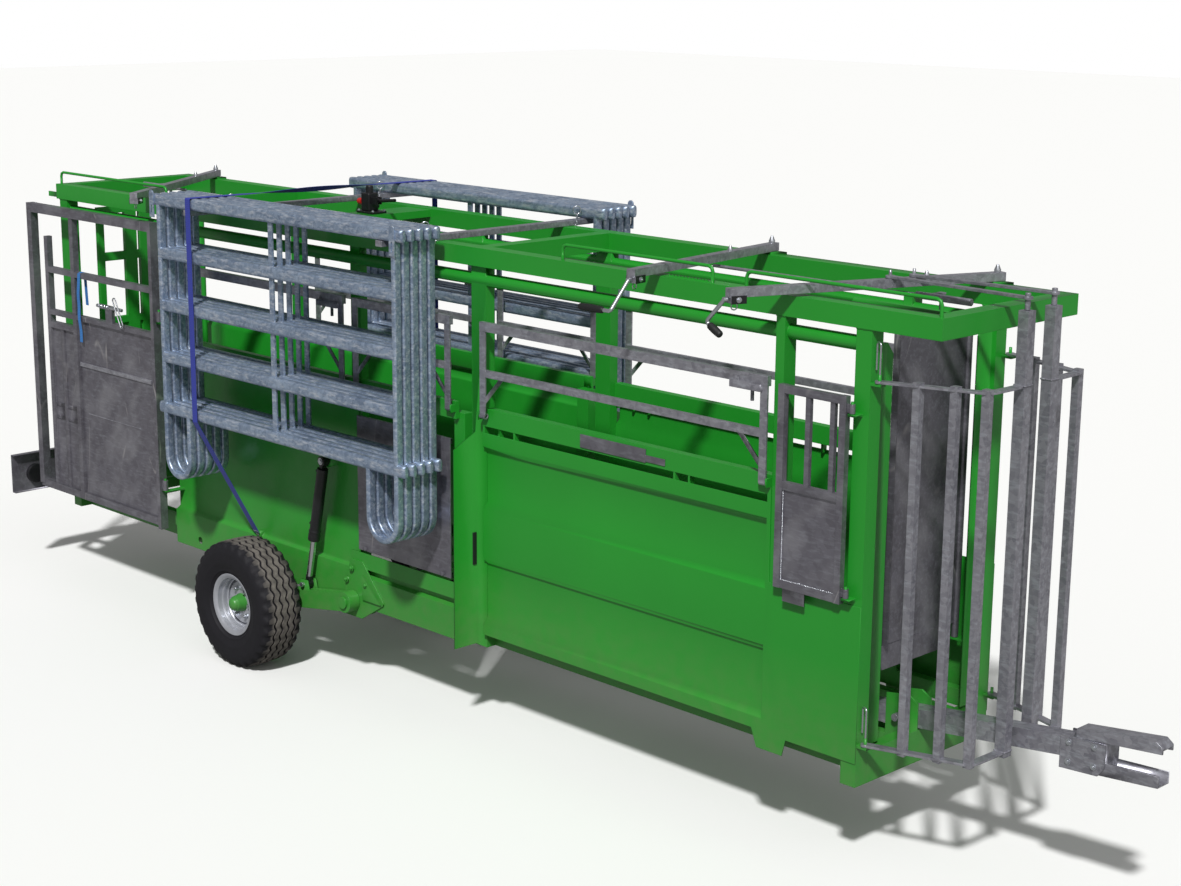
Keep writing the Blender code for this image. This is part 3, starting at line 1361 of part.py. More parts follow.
def hurdle(side, index):
    """One loose hurdle of a stack: rails, end uprights that turn into feet, and a centre bar."""
    inner = HURDLE_INNER + index * HURDLE_PITCH
    y = side * (inner + HURDLE_DEPTH / 2)
    half = HURDLE_DEPTH / 2
    pieces = []
    for k in range(HURDLE_RAILS):
        z = HURDLE_BOTTOM_RAIL_Z + k * HURDLE_RAIL_PITCH
        capped = k in (0, HURDLE_RAILS - 1)
        reach = HURDLE_CAP if capped else -HURDLE_UPRIGHT / 3
        span = (HURDLE_REAR - reach, HURDLE_FRONT + reach)
        pieces.append(block(span, (y - half, y + half), (z - HURDLE_RAIL / 2, z + HURDLE_RAIL / 2)))
    radius = (HURDLE_LOOP_WIDTH - HURDLE_UPRIGHT) / 2
    low = HURDLE_LOOP_BOTTOM + HURDLE_UPRIGHT / 2
    for x, way in ((HURDLE_REAR + HURDLE_UPRIGHT / 2, 1), (HURDLE_FRONT - HURDLE_UPRIGHT / 2, -1)):
        path = [(x, y, HURDLE_TOP - 0.01)]
        for k in range(7):
            angle = math.pi * k / 6
            path.append(
                (x + way * radius * (1 - math.cos(angle)), y, low + radius - radius * math.sin(angle))
            )
        path.append((x + way * 2 * radius, y, HURDLE_BOTTOM_RAIL_Z))
        pieces.append(sweep(path, oblong(HURDLE_DEPTH, HURDLE_UPRIGHT), Y_AXIS))
    middle = (HURDLE_REAR + HURDLE_FRONT) / 2
    wide = HURDLE_CENTRE_BAR / 2
    pieces.append(
        block(
            (middle - wide, middle + wide),
            (y - 0.006, y + 0.006),
            (HURDLE_BOTTOM_RAIL_Z, HURDLE_TOP - 0.01),
        )
    )
    if index == HURDLES - 1:
        pieces += connector_plates(side, y + side * half)
    return weld(named(side, f"hurdle_{index + 1}"), GALVANISED, pieces, (), (middle, y, HURDLE_LOOP_BOTTOM))


def connector_plates(side, face):
    """Slotted hanging plates at both ends of the outer hurdle's top rail."""
    pieces = []
    for x in (HURDLE_REAR - 0.03, HURDLE_FRONT - 0.01):
        top = HURDLE_TOP + 0.02
        outline = [
            (x - 0.02, top - 0.15),
            (x + 0.02, top - 0.15),
            (x + 0.02, top - 0.02),
            (x + 0.01, top),
            (x - 0.01, top),
            (x - 0.02, top - 0.02),
        ]
        pieces.append(plate(outline, "Y", *sorted((face - side * 0.002, face + side * 0.006))))
    return pieces


def carrier(name, x, reach):
    """The box bar across the top rails that both stacks hang on."""
    top = CARRIER_BOTTOM + CARRIER_HEIGHT
    pieces = [block((x, x + CARRIER_WIDTH), (-reach, reach), (CARRIER_BOTTOM, top))]
    for side in (NEAR, FAR):
        y = side * (HALF_WIDTH + 0.04)
        pieces.append(
            rod((x + CARRIER_WIDTH / 2, y, top - 0.005), (x + CARRIER_WIDTH / 2, y, top + 0.03), 0.006, 8)
        )
        inner = block(
            (x + 0.006, x + CARRIER_WIDTH - 0.006),
            out(side, reach - 0.02, HURDLE_INNER - 0.004),
            (CARRIER_BOTTOM + 0.004, top - 0.004),
        )
        pieces.append(inner)
    return weld(name, GALVANISED, pieces)


def strap():
    """The webbing over both stacks and down their outer faces."""
    top = HURDLE_TOP + FIT
    near, far = STRAP_NEAR_X, STRAP_FAR_X
    skew = STRAP_WIDTH / 2 * abs(far - near) / (2 * STACK_OUTER)
    edge = STACK_OUTER + FIT + skew
    drop = HURDLE_BOTTOM_RAIL_Z - HURDLE_RAIL / 2
    half = STRAP_THICKNESS / 2
    path = [
        (near, -edge - half, drop),
        (near, -edge - half, top + half),
        (far, edge + half, top + half),
        (far, edge + half, drop),
    ]
    across = Vector((far - near, 2 * edge, 0)).cross(Z_AXIS)
    return weld("strap", WEBBING, [sweep(path, oblong(STRAP_WIDTH, STRAP_THICKNESS), across)])


def strap_tail(side):
    """The lower stretch of the strap, from under a stack to the hook on the wall."""
    x = STRAP_NEAR_X if side == NEAR else STRAP_FAR_X
    half = STRAP_THICKNESS / 2
    drop = HURDLE_BOTTOM_RAIL_Z - HURDLE_RAIL / 2 - 0.005
    path = [
        (x, side * (STACK_OUTER + FIT + half), drop),
        (HOOK_X, side * (HALF_WIDTH + 0.014), HOOK_Z - 0.01),
    ]
    direction = Vector(path[1]) - Vector(path[0])
    across = X_AXIS - direction.normalized() * direction.normalized().x
    pivot = path[1]
    return weld(
        named(side, "strap_tail"),
        WEBBING,
        [sweep(path, oblong(STRAP_WIDTH, STRAP_THICKNESS), across)],
        (),
        pivot,
    )


def pump_body():
    """The hand pump on the top frame: base, tank, piston block and red cap."""
    z = RAIL_TOP - 0.005 + FIT
    x, y = PUMP_X, PUMP_Y
    pieces = [
        block((x - 0.07, x + 0.07), (y - 0.05, y + 0.05), (z, z + 0.012)),
        block((x - 0.05, x + 0.02), (y - 0.035, y + 0.035), (z + 0.005, z + 0.11)),
        rod((x - 0.015, y, z + 0.10), (x - 0.015, y, z + 0.15), 0.022, 12),
        rod((x - 0.045, y - 0.02, z + 0.06), (x - 0.085, y - 0.02, z + 0.06), 0.018, 10),
    ]
    for sign in (-1, 1):
        offset = 0.014 * sign
        pieces.append(
            block((x + 0.01, x + 0.07), (y + offset - 0.004, y + offset + 0.004), (z + 0.05, z + 0.09))
        )
    pieces.append(rod((x + 0.055, y - 0.016, z + 0.07), (x + 0.055, y + 0.016, z + 0.07), 0.005, 10))
    return weld("pump_body", BLACK, pieces, (), (x, y, z), True)


def pump_lever():
    """The socket that the pump handle fits in, turning on the body's cross pin."""
    z = RAIL_TOP - 0.005 + FIT
    x, y = PUMP_X + 0.055, PUMP_Y
    centre = (x, y, z + 0.07)
    eye = turned([(0.0062, -0.008), (0.014, -0.008), (0.014, 0.008), (0.0062, 0.008)], centre, Y_AXIS, 12)
    socket = rod((x + 0.012, y, z + 0.07), (x + 0.15, y, z + 0.085), 0.0092, 8)
    hole = rod((x, y - 0.02, z + 0.07), (x, y + 0.02, z + 0.07), 0.0062, 12)
    return weld("pump_lever", BLACK, [eye, socket], [hole], centre, True)


def drawbar():
    """The pitched box with joint plates and the two hitch arms at its front."""
    deep = DRAWBAR / math.cos(DRAWBAR_PITCH)
    half = DRAWBAR / 2

    def lean(x, down):
        return (x, drawbar_top(x) - down)

    box = [lean(DRAWBAR_REAR, 0), lean(0.80, 0), lean(0.80, deep), lean(DRAWBAR_REAR, deep)]
    pieces = [plate(box, "Y", -half, half)]
    joint = [(0.72, 0.19), (0.90, 0.20), (0.93, 0.24), (0.93, 0.34), (0.72, 0.335)]
    for side in (NEAR, FAR):
        pieces.append(plate(joint, "Y", *out(side, half - 0.001, half + 0.008)))
        upper = [(0.79, 0.335), (0.79, 0.375), (1.15, 0.418), (DRAWBAR_FRONT, 0.395), (DRAWBAR_FRONT, 0.37)]
        pieces.append(plate(upper, "Y", *out(side, half - 0.008, half)))
        lower = [(0.87, 0.20), (DRAWBAR_FRONT - 0.01, 0.225), (DRAWBAR_FRONT - 0.01, 0.275), (0.87, 0.26)]
        pieces.append(plate(lower, "Y", *out(side, half - 0.008, half)))
    cover = [
        (0.79, 0.365),
        (0.79, 0.375),
        (1.15, 0.418),
        (DRAWBAR_FRONT, 0.395),
        (DRAWBAR_FRONT, 0.385),
        (1.15, 0.408),
    ]
    pieces.append(plate(cover, "Y", -half + 0.001, half - 0.001))
    floor = [(0.87, 0.20), (DRAWBAR_FRONT - 0.01, 0.225), (DRAWBAR_FRONT - 0.01, 0.235), (0.87, 0.21)]
    pieces.append(plate(floor, "Y", -half + 0.001, half - 0.001))
    pieces.append(block((0.93, 0.94), (-half + 0.001, half - 0.001), (0.205, 0.385)))
    pieces.append(block((0.78, 0.94), (-half + 0.001, half - 0.001), (0.23, 0.36)))
    cuts = [rod((DRAWBAR_FRONT - 0.06, 0, 0.15), (DRAWBAR_FRONT - 0.06, 0, 0.30), 0.014, 12)]
    cuts.append(
        rod(
            (DRAWBAR_PIN_X, -0.2, DRAWBAR_PIN_Z),
            (DRAWBAR_PIN_X, 0.2, DRAWBAR_PIN_Z),
            DRAWBAR_PIN_RADIUS + PLAY,
            12,
        )
    )
    return weld("drawbar", GALVANISED, pieces, cuts, (DRAWBAR_PIN_X, 0, DRAWBAR_PIN_Z))


def drawbar_pin():
    """The cross pin that holds the drawbar, with its head and clip end."""
    reach = DRAWBAR / 2 + 0.008 + PLAY
    pieces = [
        rod(
            (DRAWBAR_PIN_X, -reach - 0.02, DRAWBAR_PIN_Z),
            (DRAWBAR_PIN_X, reach + 0.03, DRAWBAR_PIN_Z),
            DRAWBAR_PIN_RADIUS,
            12,
        )
    ]
    pieces.append(
        rod(
            (DRAWBAR_PIN_X, -reach - 0.03, DRAWBAR_PIN_Z),
            (DRAWBAR_PIN_X, -reach - PLAY, DRAWBAR_PIN_Z),
            0.018,
            12,
        )
    )
    return weld("drawbar_pin", GALVANISED, pieces, (), (DRAWBAR_PIN_X, 0, DRAWBAR_PIN_Z), True)


def light_board():
    """The folded board across the rear with its round lamps and two stays."""
    x = LIGHT_BOARD_X
    half = LIGHT_BOARD_HALF
    low, high = LIGHT_BOARD_BOTTOM, LIGHT_BOARD_TOP
    pieces = [block((x, x + 0.004), (-half, half), (low, high))]
    pieces.append(block((x, x + 0.04), (-half, half), (high - 0.004, high)))
    pieces.append(block((x, x + 0.04), (-half, half), (low, low + 0.004)))
    for side in (NEAR, FAR):
        pieces.append(block((x + 0.001, REAR_END - FIT), out(side, 0.36, 0.39), (low + 0.001, low + 0.05)))
        pieces.append(
            rod((x + 0.002, side * LAMP_OUT, 0.19), (x + 0.03, side * LAMP_OUT, 0.19), LAMP_RADIUS, 20)
        )
    return weld("light_board", GALVANISED, pieces)


def settle(parts):
    """Parents every piece to one empty, then stands the race on the ground under its middle."""
    root = bpy.data.objects.new("race", None)
    bpy.context.scene.collection.objects.link(root)
    for part in parts:
        part.parent = root
    bpy.context.view_layer.update()
    corners = [part.matrix_world @ v.co for part in parts for v in part.data.vertices]
    low = [min(c[k] for c in corners) for k in range(3)]
    high = [max(c[k] for c in corners) for k in range(3)]
    root.location = (-(low[0] + high[0]) / 2, -(low[1] + high[1]) / 2, -low[2])


def build():
    parts = [top_frame(), base_frame(), side_door(), front_door(), rear_door(), vet_door(), rear_gate()]
    rear_bar = (GATE_POST_X + POST_WIDTH + 0.01, SIDE_DOOR_REAR - 0.05)
    short_bar = (SIDE_DOOR_REAR + 0.01, SHORT_POST_X + POST_WIDTH / 2)
    front_bar = (MIDDLE_POST_X + MIDDLE_POST_WIDTH + FIT + 0.002, LATCH_POST_X)
    for side in (NEAR, FAR):
        parts += [side_frame(side), front_panel(side), rear_panel(side)]
        parts += [arm(side), tyre(side), rim(side), barrel(side), piston_rod(side)]
        parts += [wing(side), push_rod(side), strap_tail(side)]
        parts.append(bar_frame(named(side, "front_bar_frame"), side, *front_bar, latch=True))
        parts.append(bar_frame(named(side, "short_bar_frame"), side, *short_bar))
        parts.append(bar_frame(named(side, "rear_bar_frame"), side, *rear_bar, latch=True))
        parts += [hurdle(side, index) for index in range(HURDLES)]
    parts.append(
        lever("yoke_lever", YOKE_LEVER_PIVOT, YOKE_LEVER_END, (YOKE_JOINT_NEAR_Y, YOKE_JOINT_FAR_Y))
    )
    parts.append(lever("door_lever", DOOR_LEVER_PIVOT, DOOR_LEVER_END, ()))
    parts.append(lever("rear_lever", REAR_LEVER_PIVOT, REAR_LEVER_END, ()))
    parts.append(handle("yoke_lever_handle", YOKE_LEVER_PIVOT, YOKE_LEVER_END, *YOKE_HANDLE))
    parts.append(handle("door_lever_handle", DOOR_LEVER_PIVOT, DOOR_LEVER_END, *DOOR_HANDLE))
    joint = along_lever(DOOR_LEVER_PIVOT, DOOR_LEVER_END, 0.0)
    drop_y = DOOR_HINGE_OUT - DROP_PIN_REACH
    parts.append(door_rod("front_door_rod", joint, (-0.14, 0.14), (FRONT_DOOR_X, drop_y, FRONT_DOOR_TOP)))
    joint = along_lever(REAR_LEVER_PIVOT, REAR_LEVER_END, -0.02)
    rear_tube = (REAR_DOOR_X - 0.015, REAR_DOOR_X + 0.25)
    parts.append(door_rod("rear_door_rod", joint, rear_tube, (REAR_DOOR_X, drop_y, REAR_DOOR_TOP)))
    parts += [
        carrier("front_carrier", FRONT_CARRIER_X, STACK_OUTER),
        carrier("rear_carrier", REAR_CARRIER_X, STACK_OUTER),
    ]
    parts += [strap(), pump_body(), pump_lever(), drawbar(), drawbar_pin(), light_board()]
    settle(parts)


clear_scene()
GREEN = painted("green_paint", (0.037, 0.313, 0.039), 0.35)
GALVANISED = painted("galvanised_steel", (0.45, 0.46, 0.50), 0.42, 0.9)
RUBBER = painted("tyre_rubber", (0.012, 0.012, 0.014), 0.85)
WHEEL_PAINT = painted("wheel_paint", (0.47, 0.48, 0.50), 0.4, 0.3)
BLACK = painted("black_paint", (0.01, 0.01, 0.012), 0.4)
CHROME = painted("chrome", (0.6, 0.6, 0.62), 0.12, 1.0)
WEBBING = painted("blue_webbing", (0.04, 0.07, 0.36), 0.8)
build()
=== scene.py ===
"""Dresses the mobile cattle handling race: paint, zinc, rubber, chrome and webbing round its solids.

Metres throughout. X runs towards the drawbar, Y from the near side to the far side, Z up.
"""

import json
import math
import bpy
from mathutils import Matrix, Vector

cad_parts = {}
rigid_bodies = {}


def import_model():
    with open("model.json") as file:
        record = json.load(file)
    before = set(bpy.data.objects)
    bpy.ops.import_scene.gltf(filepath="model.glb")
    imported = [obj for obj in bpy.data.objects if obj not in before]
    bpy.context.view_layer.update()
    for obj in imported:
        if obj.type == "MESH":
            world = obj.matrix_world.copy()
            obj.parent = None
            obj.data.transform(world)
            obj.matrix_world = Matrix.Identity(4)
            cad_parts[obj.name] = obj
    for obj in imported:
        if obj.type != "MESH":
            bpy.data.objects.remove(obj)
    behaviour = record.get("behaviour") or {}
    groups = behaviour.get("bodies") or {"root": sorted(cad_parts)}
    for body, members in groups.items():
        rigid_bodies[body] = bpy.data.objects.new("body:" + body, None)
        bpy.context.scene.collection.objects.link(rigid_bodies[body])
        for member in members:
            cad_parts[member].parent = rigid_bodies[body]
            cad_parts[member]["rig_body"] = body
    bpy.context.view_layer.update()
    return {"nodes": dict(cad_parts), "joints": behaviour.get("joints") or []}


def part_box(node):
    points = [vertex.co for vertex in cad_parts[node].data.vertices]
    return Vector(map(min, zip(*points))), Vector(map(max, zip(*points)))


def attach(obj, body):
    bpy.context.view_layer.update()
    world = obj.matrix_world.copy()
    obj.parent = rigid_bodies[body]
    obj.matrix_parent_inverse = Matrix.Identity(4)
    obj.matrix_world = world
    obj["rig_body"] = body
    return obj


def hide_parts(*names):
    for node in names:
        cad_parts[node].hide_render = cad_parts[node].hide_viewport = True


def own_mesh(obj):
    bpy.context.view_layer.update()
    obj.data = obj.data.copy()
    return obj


bl_info = {
    "name": "Mobile cattle handling race",
    "version": (1, 0, 0),
    "blender": (4, 5, 0),
    "location": "3D View > Sidebar > Race",
    "description": "Builds the finished surfaces and small parts of a mobile cattle handling race",
    "category": "Object",
}

import bmesh
import bpy
from bpy.props import FloatProperty, FloatVectorProperty, IntProperty, PointerProperty
from mathutils import Matrix, Vector

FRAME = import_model()
JOINTS = {joint["name"]: joint for joint in FRAME["joints"]}
SIDES = (("near", -1), ("far", 1))
ROOT = "race"
X_AXIS, Y_AXIS, Z_AXIS = Vector((1, 0, 0)), Vector((0, 1, 0)), Vector((0, 0, 1))
POST_FRONT = 2.72
FOOT_LEVEL = 0.41


def spot(x, y, z):
    """A point counted from the front face of the front posts and from the front feet."""
    return Vector((x + POST_FRONT, y, z + FOOT_LEVEL))


def linear(code):
    """An sRGB hex colour as linear red, green, blue and alpha."""
    values = []
    for start in (1, 3, 5):
        share = int(code[start : start + 2], 16) / 255
        values.append(share / 12.92 if share <= 0.04045 else ((share + 0.055) / 1.055) ** 2.4)
    return (*values, 1.0)


def colour_property(name, code, description):
    return FloatVectorProperty(
        name=name, description=description, default=linear(code), size=4, min=0, max=1, subtype="COLOR"
    )


def length_property(name, metres, description):
    return FloatProperty(
        name=name, description=description, default=metres, min=0, unit="LENGTH", precision=4
    )


class RaceColours(bpy.types.PropertyGroup):
    """Colours of the race's finishes"""

    enamel: colour_property("Frame enamel", "#1F8F27", "Gloss enamel on the frame, sheets and arms")
    tube_light: colour_property("Tube zinc, light", "#A9A8B0", "Bright crystals of the galvanised tubes")
    tube_dark: colour_property("Tube zinc, dark", "#82818A", "Dull crystals of the galvanised tubes")
    sheet_light: colour_property("Sheet zinc, light", "#7D7B84", "Bright crystals of the galvanised sheets")
    sheet_dark: colour_property("Sheet zinc, dark", "#6A676F", "Dull crystals of the galvanised sheets")
    hurdle_light: colour_property("Hurdle zinc, light", "#A9BAD0", "Bright crystals of the hurdles")
    hurdle_dark: colour_property("Hurdle zinc, dark", "#76869F", "Dull crystals of the hurdles")
    rubber: colour_property("Tyre rubber", "#141318", "Tyre side walls")
    tread_dust: colour_property("Tread dust", "#77716B", "Dry earth on the tread ribs")
    webbing: colour_property("Webbing", "#27379F", "Lashing strap")
    spare_webbing: colour_property("Spare webbing", "#2F78C0", "Loose strap on the rear gate")
    wheel: colour_property("Wheel lacquer", "#B9BBC2", "Rims")
    black: colour_property("Black enamel", "#17171A", "Cylinders, pump and grips")
    floor: colour_property("Floor", "#F6F6F4", "Studio floor and backdrop")


class RaceSizes(bpy.types.PropertyGroup):
    """Sizes of the small forms"""

    tread_depth: length_property("Tread depth", 0.011, "Depth of the grooves between the tread ribs")
    tread_swing: length_property("Rib swing", 0.0075, "Sideways swing of the tread ribs")
    tread_waves: IntProperty(
        name="Rib waves", description="Waves of a tread rib round the tyre", default=32, min=8
    )
    rail_corner: length_property("Hurdle rail corner", 0.019, "Corner radius of the flat oval hurdle rails")
    bead: length_property("Weld bead", 0.004, "Half width of a weld bead")
    clip_wire: length_property("Clip wire", 0.0028, "Radius of the wire of the spring clips")
    spangle: length_property("Zinc crystal", 0.022, "Usual width of one zinc crystal")


def colours():
    return bpy.context.scene.race_colours


def sizes():
    return bpy.context.scene.race_sizes


def node_in(tree, kind, inputs=None, **settings):
    """Adds a node with its settings; an input takes a value, or another node's output as a link."""
    made = tree.nodes.new(kind)
    for name, value in settings.items():
        setattr(made, name, value)
    for socket, value in (inputs or {}).items():
        if isinstance(value, bpy.types.NodeSocket):
            tree.links.new(value, made.inputs[socket])
        else:
            made.inputs[socket].default_value = value
    return made


def maths(tree, operation, *values):
    return node_in(tree, "ShaderNodeMath", dict(enumerate(values)), operation=operation).outputs["Value"]


def mixed(tree, share, first, second):
    """The first colour, going over into the second as the share rises from 0 to 1."""
    given = {"Fac": share, "Color1": first, "Color2": second}
    return node_in(tree, "ShaderNodeMixRGB", given).outputs["Color"]


def ranged(tree, value, source, target):
    """A value carried over from one span to another, and kept inside it."""
    given = {"Value": value, "From Min": source[0], "From Max": source[1]}
    given.update({"To Min": target[0], "To Max": target[1]})
    return node_in(tree, "ShaderNodeMapRange", given).outputs["Result"]


def noise(tree, place, scale, detail=2.0, roughness=0.5, distortion=0.0):
    given = {"Vector": place, "Scale": scale, "Detail": detail}
    given.update({"Roughness": roughness, "Distortion": distortion})
    return node_in(tree, "ShaderNodeTexNoise", given).outputs["Fac"]


def new_finish(name, values):
    """A material with its tree, its shader and its object coordinates."""
    material = bpy.data.materials.new(name)
    material.use_nodes = True
    tree = material.node_tree
    shader = tree.nodes["Principled BSDF"]
    for socket, value in values.items():
        shader.inputs[socket].default_value = value
    place = node_in(tree, "ShaderNodeTexCoord").outputs["Object"]
    return material, tree, shader, place


def shaded(colour, factor):
    return (*(min(1.0, value * factor) for value in colour[:3]), 1.0)


def relief(tree, shader, height, strength, depth, edge=0.003):
    """Small relief, on top of edges that catch the light as if they were rounded by edge."""
    given = {"Height": height, "Strength": strength, "Distance": depth}
    if edge:
        given["Normal"] = node_in(tree, "ShaderNodeBevel", {"Radius": edge}, samples=4).outputs["Normal"]
    bump = node_in(tree, "ShaderNodeBump", given)
    tree.links.new(bump.outputs["Normal"], shader.inputs["Normal"])


def sprayed_gloss_enamel(name, colour):
    """Gloss enamel sprayed on steel: clean and glossy, faintly cloudy, dusty near the ground."""
    material, tree, shader, place = new_finish(name, {"Coat Weight": 0.05, "Coat Roughness": 0.12})
    dust_foot, dust_top = 0.40, 0.95
    cloud = noise(tree, place, 1000 / 700, 3.0)
    tone = mixed(tree, cloud, shaded(colour, 0.90), shaded(colour, 1.12))
    height = node_in(tree, "ShaderNodeSeparateXYZ", {"Vector": place}).outputs["Z"]
    low = ranged(tree, height, (dust_foot, dust_top), (0.55, 0))
    splash = noise(tree, place, 1000 / 60, 6.0)
    dusty = mixed(tree, maths(tree, "MULTIPLY", low, splash), tone, linear("#6E7A55"))
    tree.links.new(dusty, shader.inputs["Base Color"])
    tree.links.new(ranged(tree, splash, (0.3, 0.7), (0.34, 0.46)), shader.inputs["Roughness"])
    # Orange peel is about 2 mm wide; it is drawn at 12 mm so that it shows.
    relief(tree, shader, noise(tree, place, 1000 / 12), 0.08, 0.0006)
    return material


def drained_and_wiped(tree, place, cloud, colour, streaks):
    """A sheet's zinc with the marks of its dipping."""
    # Runs of zinc froze as the sheet drained: sparse pale curved lines, a few millimetres wide.
    turned = node_in(
        tree, "ShaderNodeMapping", {"Vector": place, "Rotation": (0.2, 0.5, 0.1), "Scale": (3.2, 3.2, 1.1)}
    )
    flow = noise(tree, turned.outputs["Vector"], 0.9, 1.0, 0.5, 0.6)
    away = maths(tree, "ABSOLUTE", maths(tree, "SUBTRACT", flow, 0.5))
    thin = ranged(tree, away, (0, 0.010), (1, 0))
    patches = ranged(tree, cloud, (0.50, 0.66), (0, streaks))
    marks = mixed(tree, maths(tree, "MULTIPLY", thin, patches), colour, linear("#CFCBCB"))
    # Broad slanting patches where the wet zinc was wiped: paler, with soft ends.
    slanted = node_in(
        tree, "ShaderNodeMapping",
        {"Vector": place, "Rotation": (0.55, 0.75, 0.0), "Scale": (0.20, 0.20, 1.3)},
        vector_type="TEXTURE",
    )
    wiping = noise(tree, slanted.outputs["Vector"], 1.3)
    return mixed(tree, ranged(tree, wiping, (0.47, 0.70), (0, 0.34)), marks, linear("#B4B3B9"))


def hot_dip_galvanised(name, light, dark, crystal, streaks, grain):
    """Steel dipped in molten zinc: grey crystals, drained runs, small lumps and a soft metal sheen."""
    material, tree, shader, place = new_finish(name, {"Metallic": 0.65})
    cells = node_in(tree, "ShaderNodeTexVoronoi", {"Vector": place, "Scale": 1 / crystal})
    shade = node_in(tree, "ShaderNodeSeparateColor", {"Color": cells.outputs["Color"]}).outputs
    cloud = noise(tree, place, 1000 / 260, 4.0)
    soft = ranged(tree, shade["Red"], (0, 1), (0.25, 0.75))
    share = ranged(tree, maths(tree, "ADD", soft, cloud), (0.6, 1.4), (0, 1))
    base = mixed(tree, share, light, dark)
    # Grain drawn out along the tube as the zinc drained.
    drawn = node_in(tree, "ShaderNodeMapping", {"Vector": place, "Scale": (0.22, 1.0, 1.0)})
    lumps = noise(tree, drawn.outputs["Vector"], 1000 / 16, 4.0, 0.65)
    colour = mixed(tree, ranged(tree, lumps, (0.50, 0.66), (0, grain)), base, linear("#D3D9E2"))
    if streaks:
        colour = drained_and_wiped(tree, place, cloud, colour, streaks)
    tree.links.new(colour, shader.inputs["Base Color"])
    tree.links.new(ranged(tree, shade["Green"], (0, 1), (0.32, 0.48)), shader.inputs["Roughness"])
    relief(tree, shader, noise(tree, place, 1000 / 13, 6.0, 0.75), 0.2, 0.001)
    return material


def plain_metal(name, colour, metallic, roughness, smear_mm):
    """Metal or lacquer with a smooth face, broken only by handling smears."""
    material, tree, shader, place = new_finish(name, {"Metallic": metallic})
    smear = noise(tree, place, 1000 / smear_mm, 4.0)
    tone = mixed(tree, smear, shaded(colour, 0.86), shaded(colour, 1.08))
    gloss = ranged(tree, smear, (0.3, 0.7), (roughness * 0.8, roughness * 1.3))
    tree.links.new(tone, shader.inputs["Base Color"])
    tree.links.new(gloss, shader.inputs["Roughness"])
    return material


def moulded_tyre_rubber(name, centre, tread_radius):
    """Vulcanised rubber from a mould: near black, matt, with dry earth on the tread ribs."""
    material, tree, shader, place = new_finish(name, {"Roughness": 0.72, "Specular IOR Level": 0.35})
    moved = node_in(tree, "ShaderNodeMapping", {"Vector": place, "Location": (-centre.x, 0, -centre.z)})
    flat = node_in(
        tree, "ShaderNodeVectorMath", {0: moved.outputs["Vector"], 1: (1, 0, 1)}, operation="MULTIPLY"
    )
    radius = node_in(tree, "ShaderNodeVectorMath", {0: flat.outputs["Vector"]}, operation="LENGTH")
    tread = ranged(tree, radius.outputs["Value"], (tread_radius - 0.008, tread_radius - 0.001), (0, 1))
    earth = noise(tree, place, 1000 / 35, 8.0)
    worn = ranged(tree, earth, (0.35, 0.65), (0.45, 0.95))
    tone = mixed(tree, earth, shaded(colours().rubber, 0.8), shaded(colours().rubber, 1.5))
    dusty = mixed(tree, maths(tree, "MULTIPLY", tread, worn), tone, tuple(colours().tread_dust))
    tree.links.new(dusty, shader.inputs["Base Color"])
    relief(tree, shader, earth, 0.3, 0.0008, 0)
    return material


def woven_polyester_webbing(name, colour):
    """Flat lashing webbing: ribs of yarn across and along it, and a dull sheen."""
    material, tree, shader, _ = new_finish(name, {"Roughness": 0.8, "Sheen Weight": 0.08})
    strip = node_in(tree, "ShaderNodeUVMap", uv_map="strip").outputs["UV"]
    # The yarn is about 1.2 mm thick; the ribs are drawn every 5 mm so that they show.
    ribs = node_in(tree, "ShaderNodeTexWave", {"Vector": strip, "Scale": 1000 / 5 / 6.28, "Distortion": 0.4})
    lengthwise = node_in(
        tree, "ShaderNodeTexWave", {"Vector": strip, "Scale": 1000 / 6 / 6.28, "Distortion": 0.2},
        bands_direction="Y",
    )
    weave = maths(tree, "MULTIPLY", ribs.outputs["Fac"], lengthwise.outputs["Fac"])
    tone = mixed(tree, weave, shaded(colour, 0.72), shaded(colour, 1.25))
    tree.links.new(tone, shader.inputs["Base Color"])
    relief(tree, shader, weave, 0.5, 0.0006, 0)
    return material


FINISHES = {}


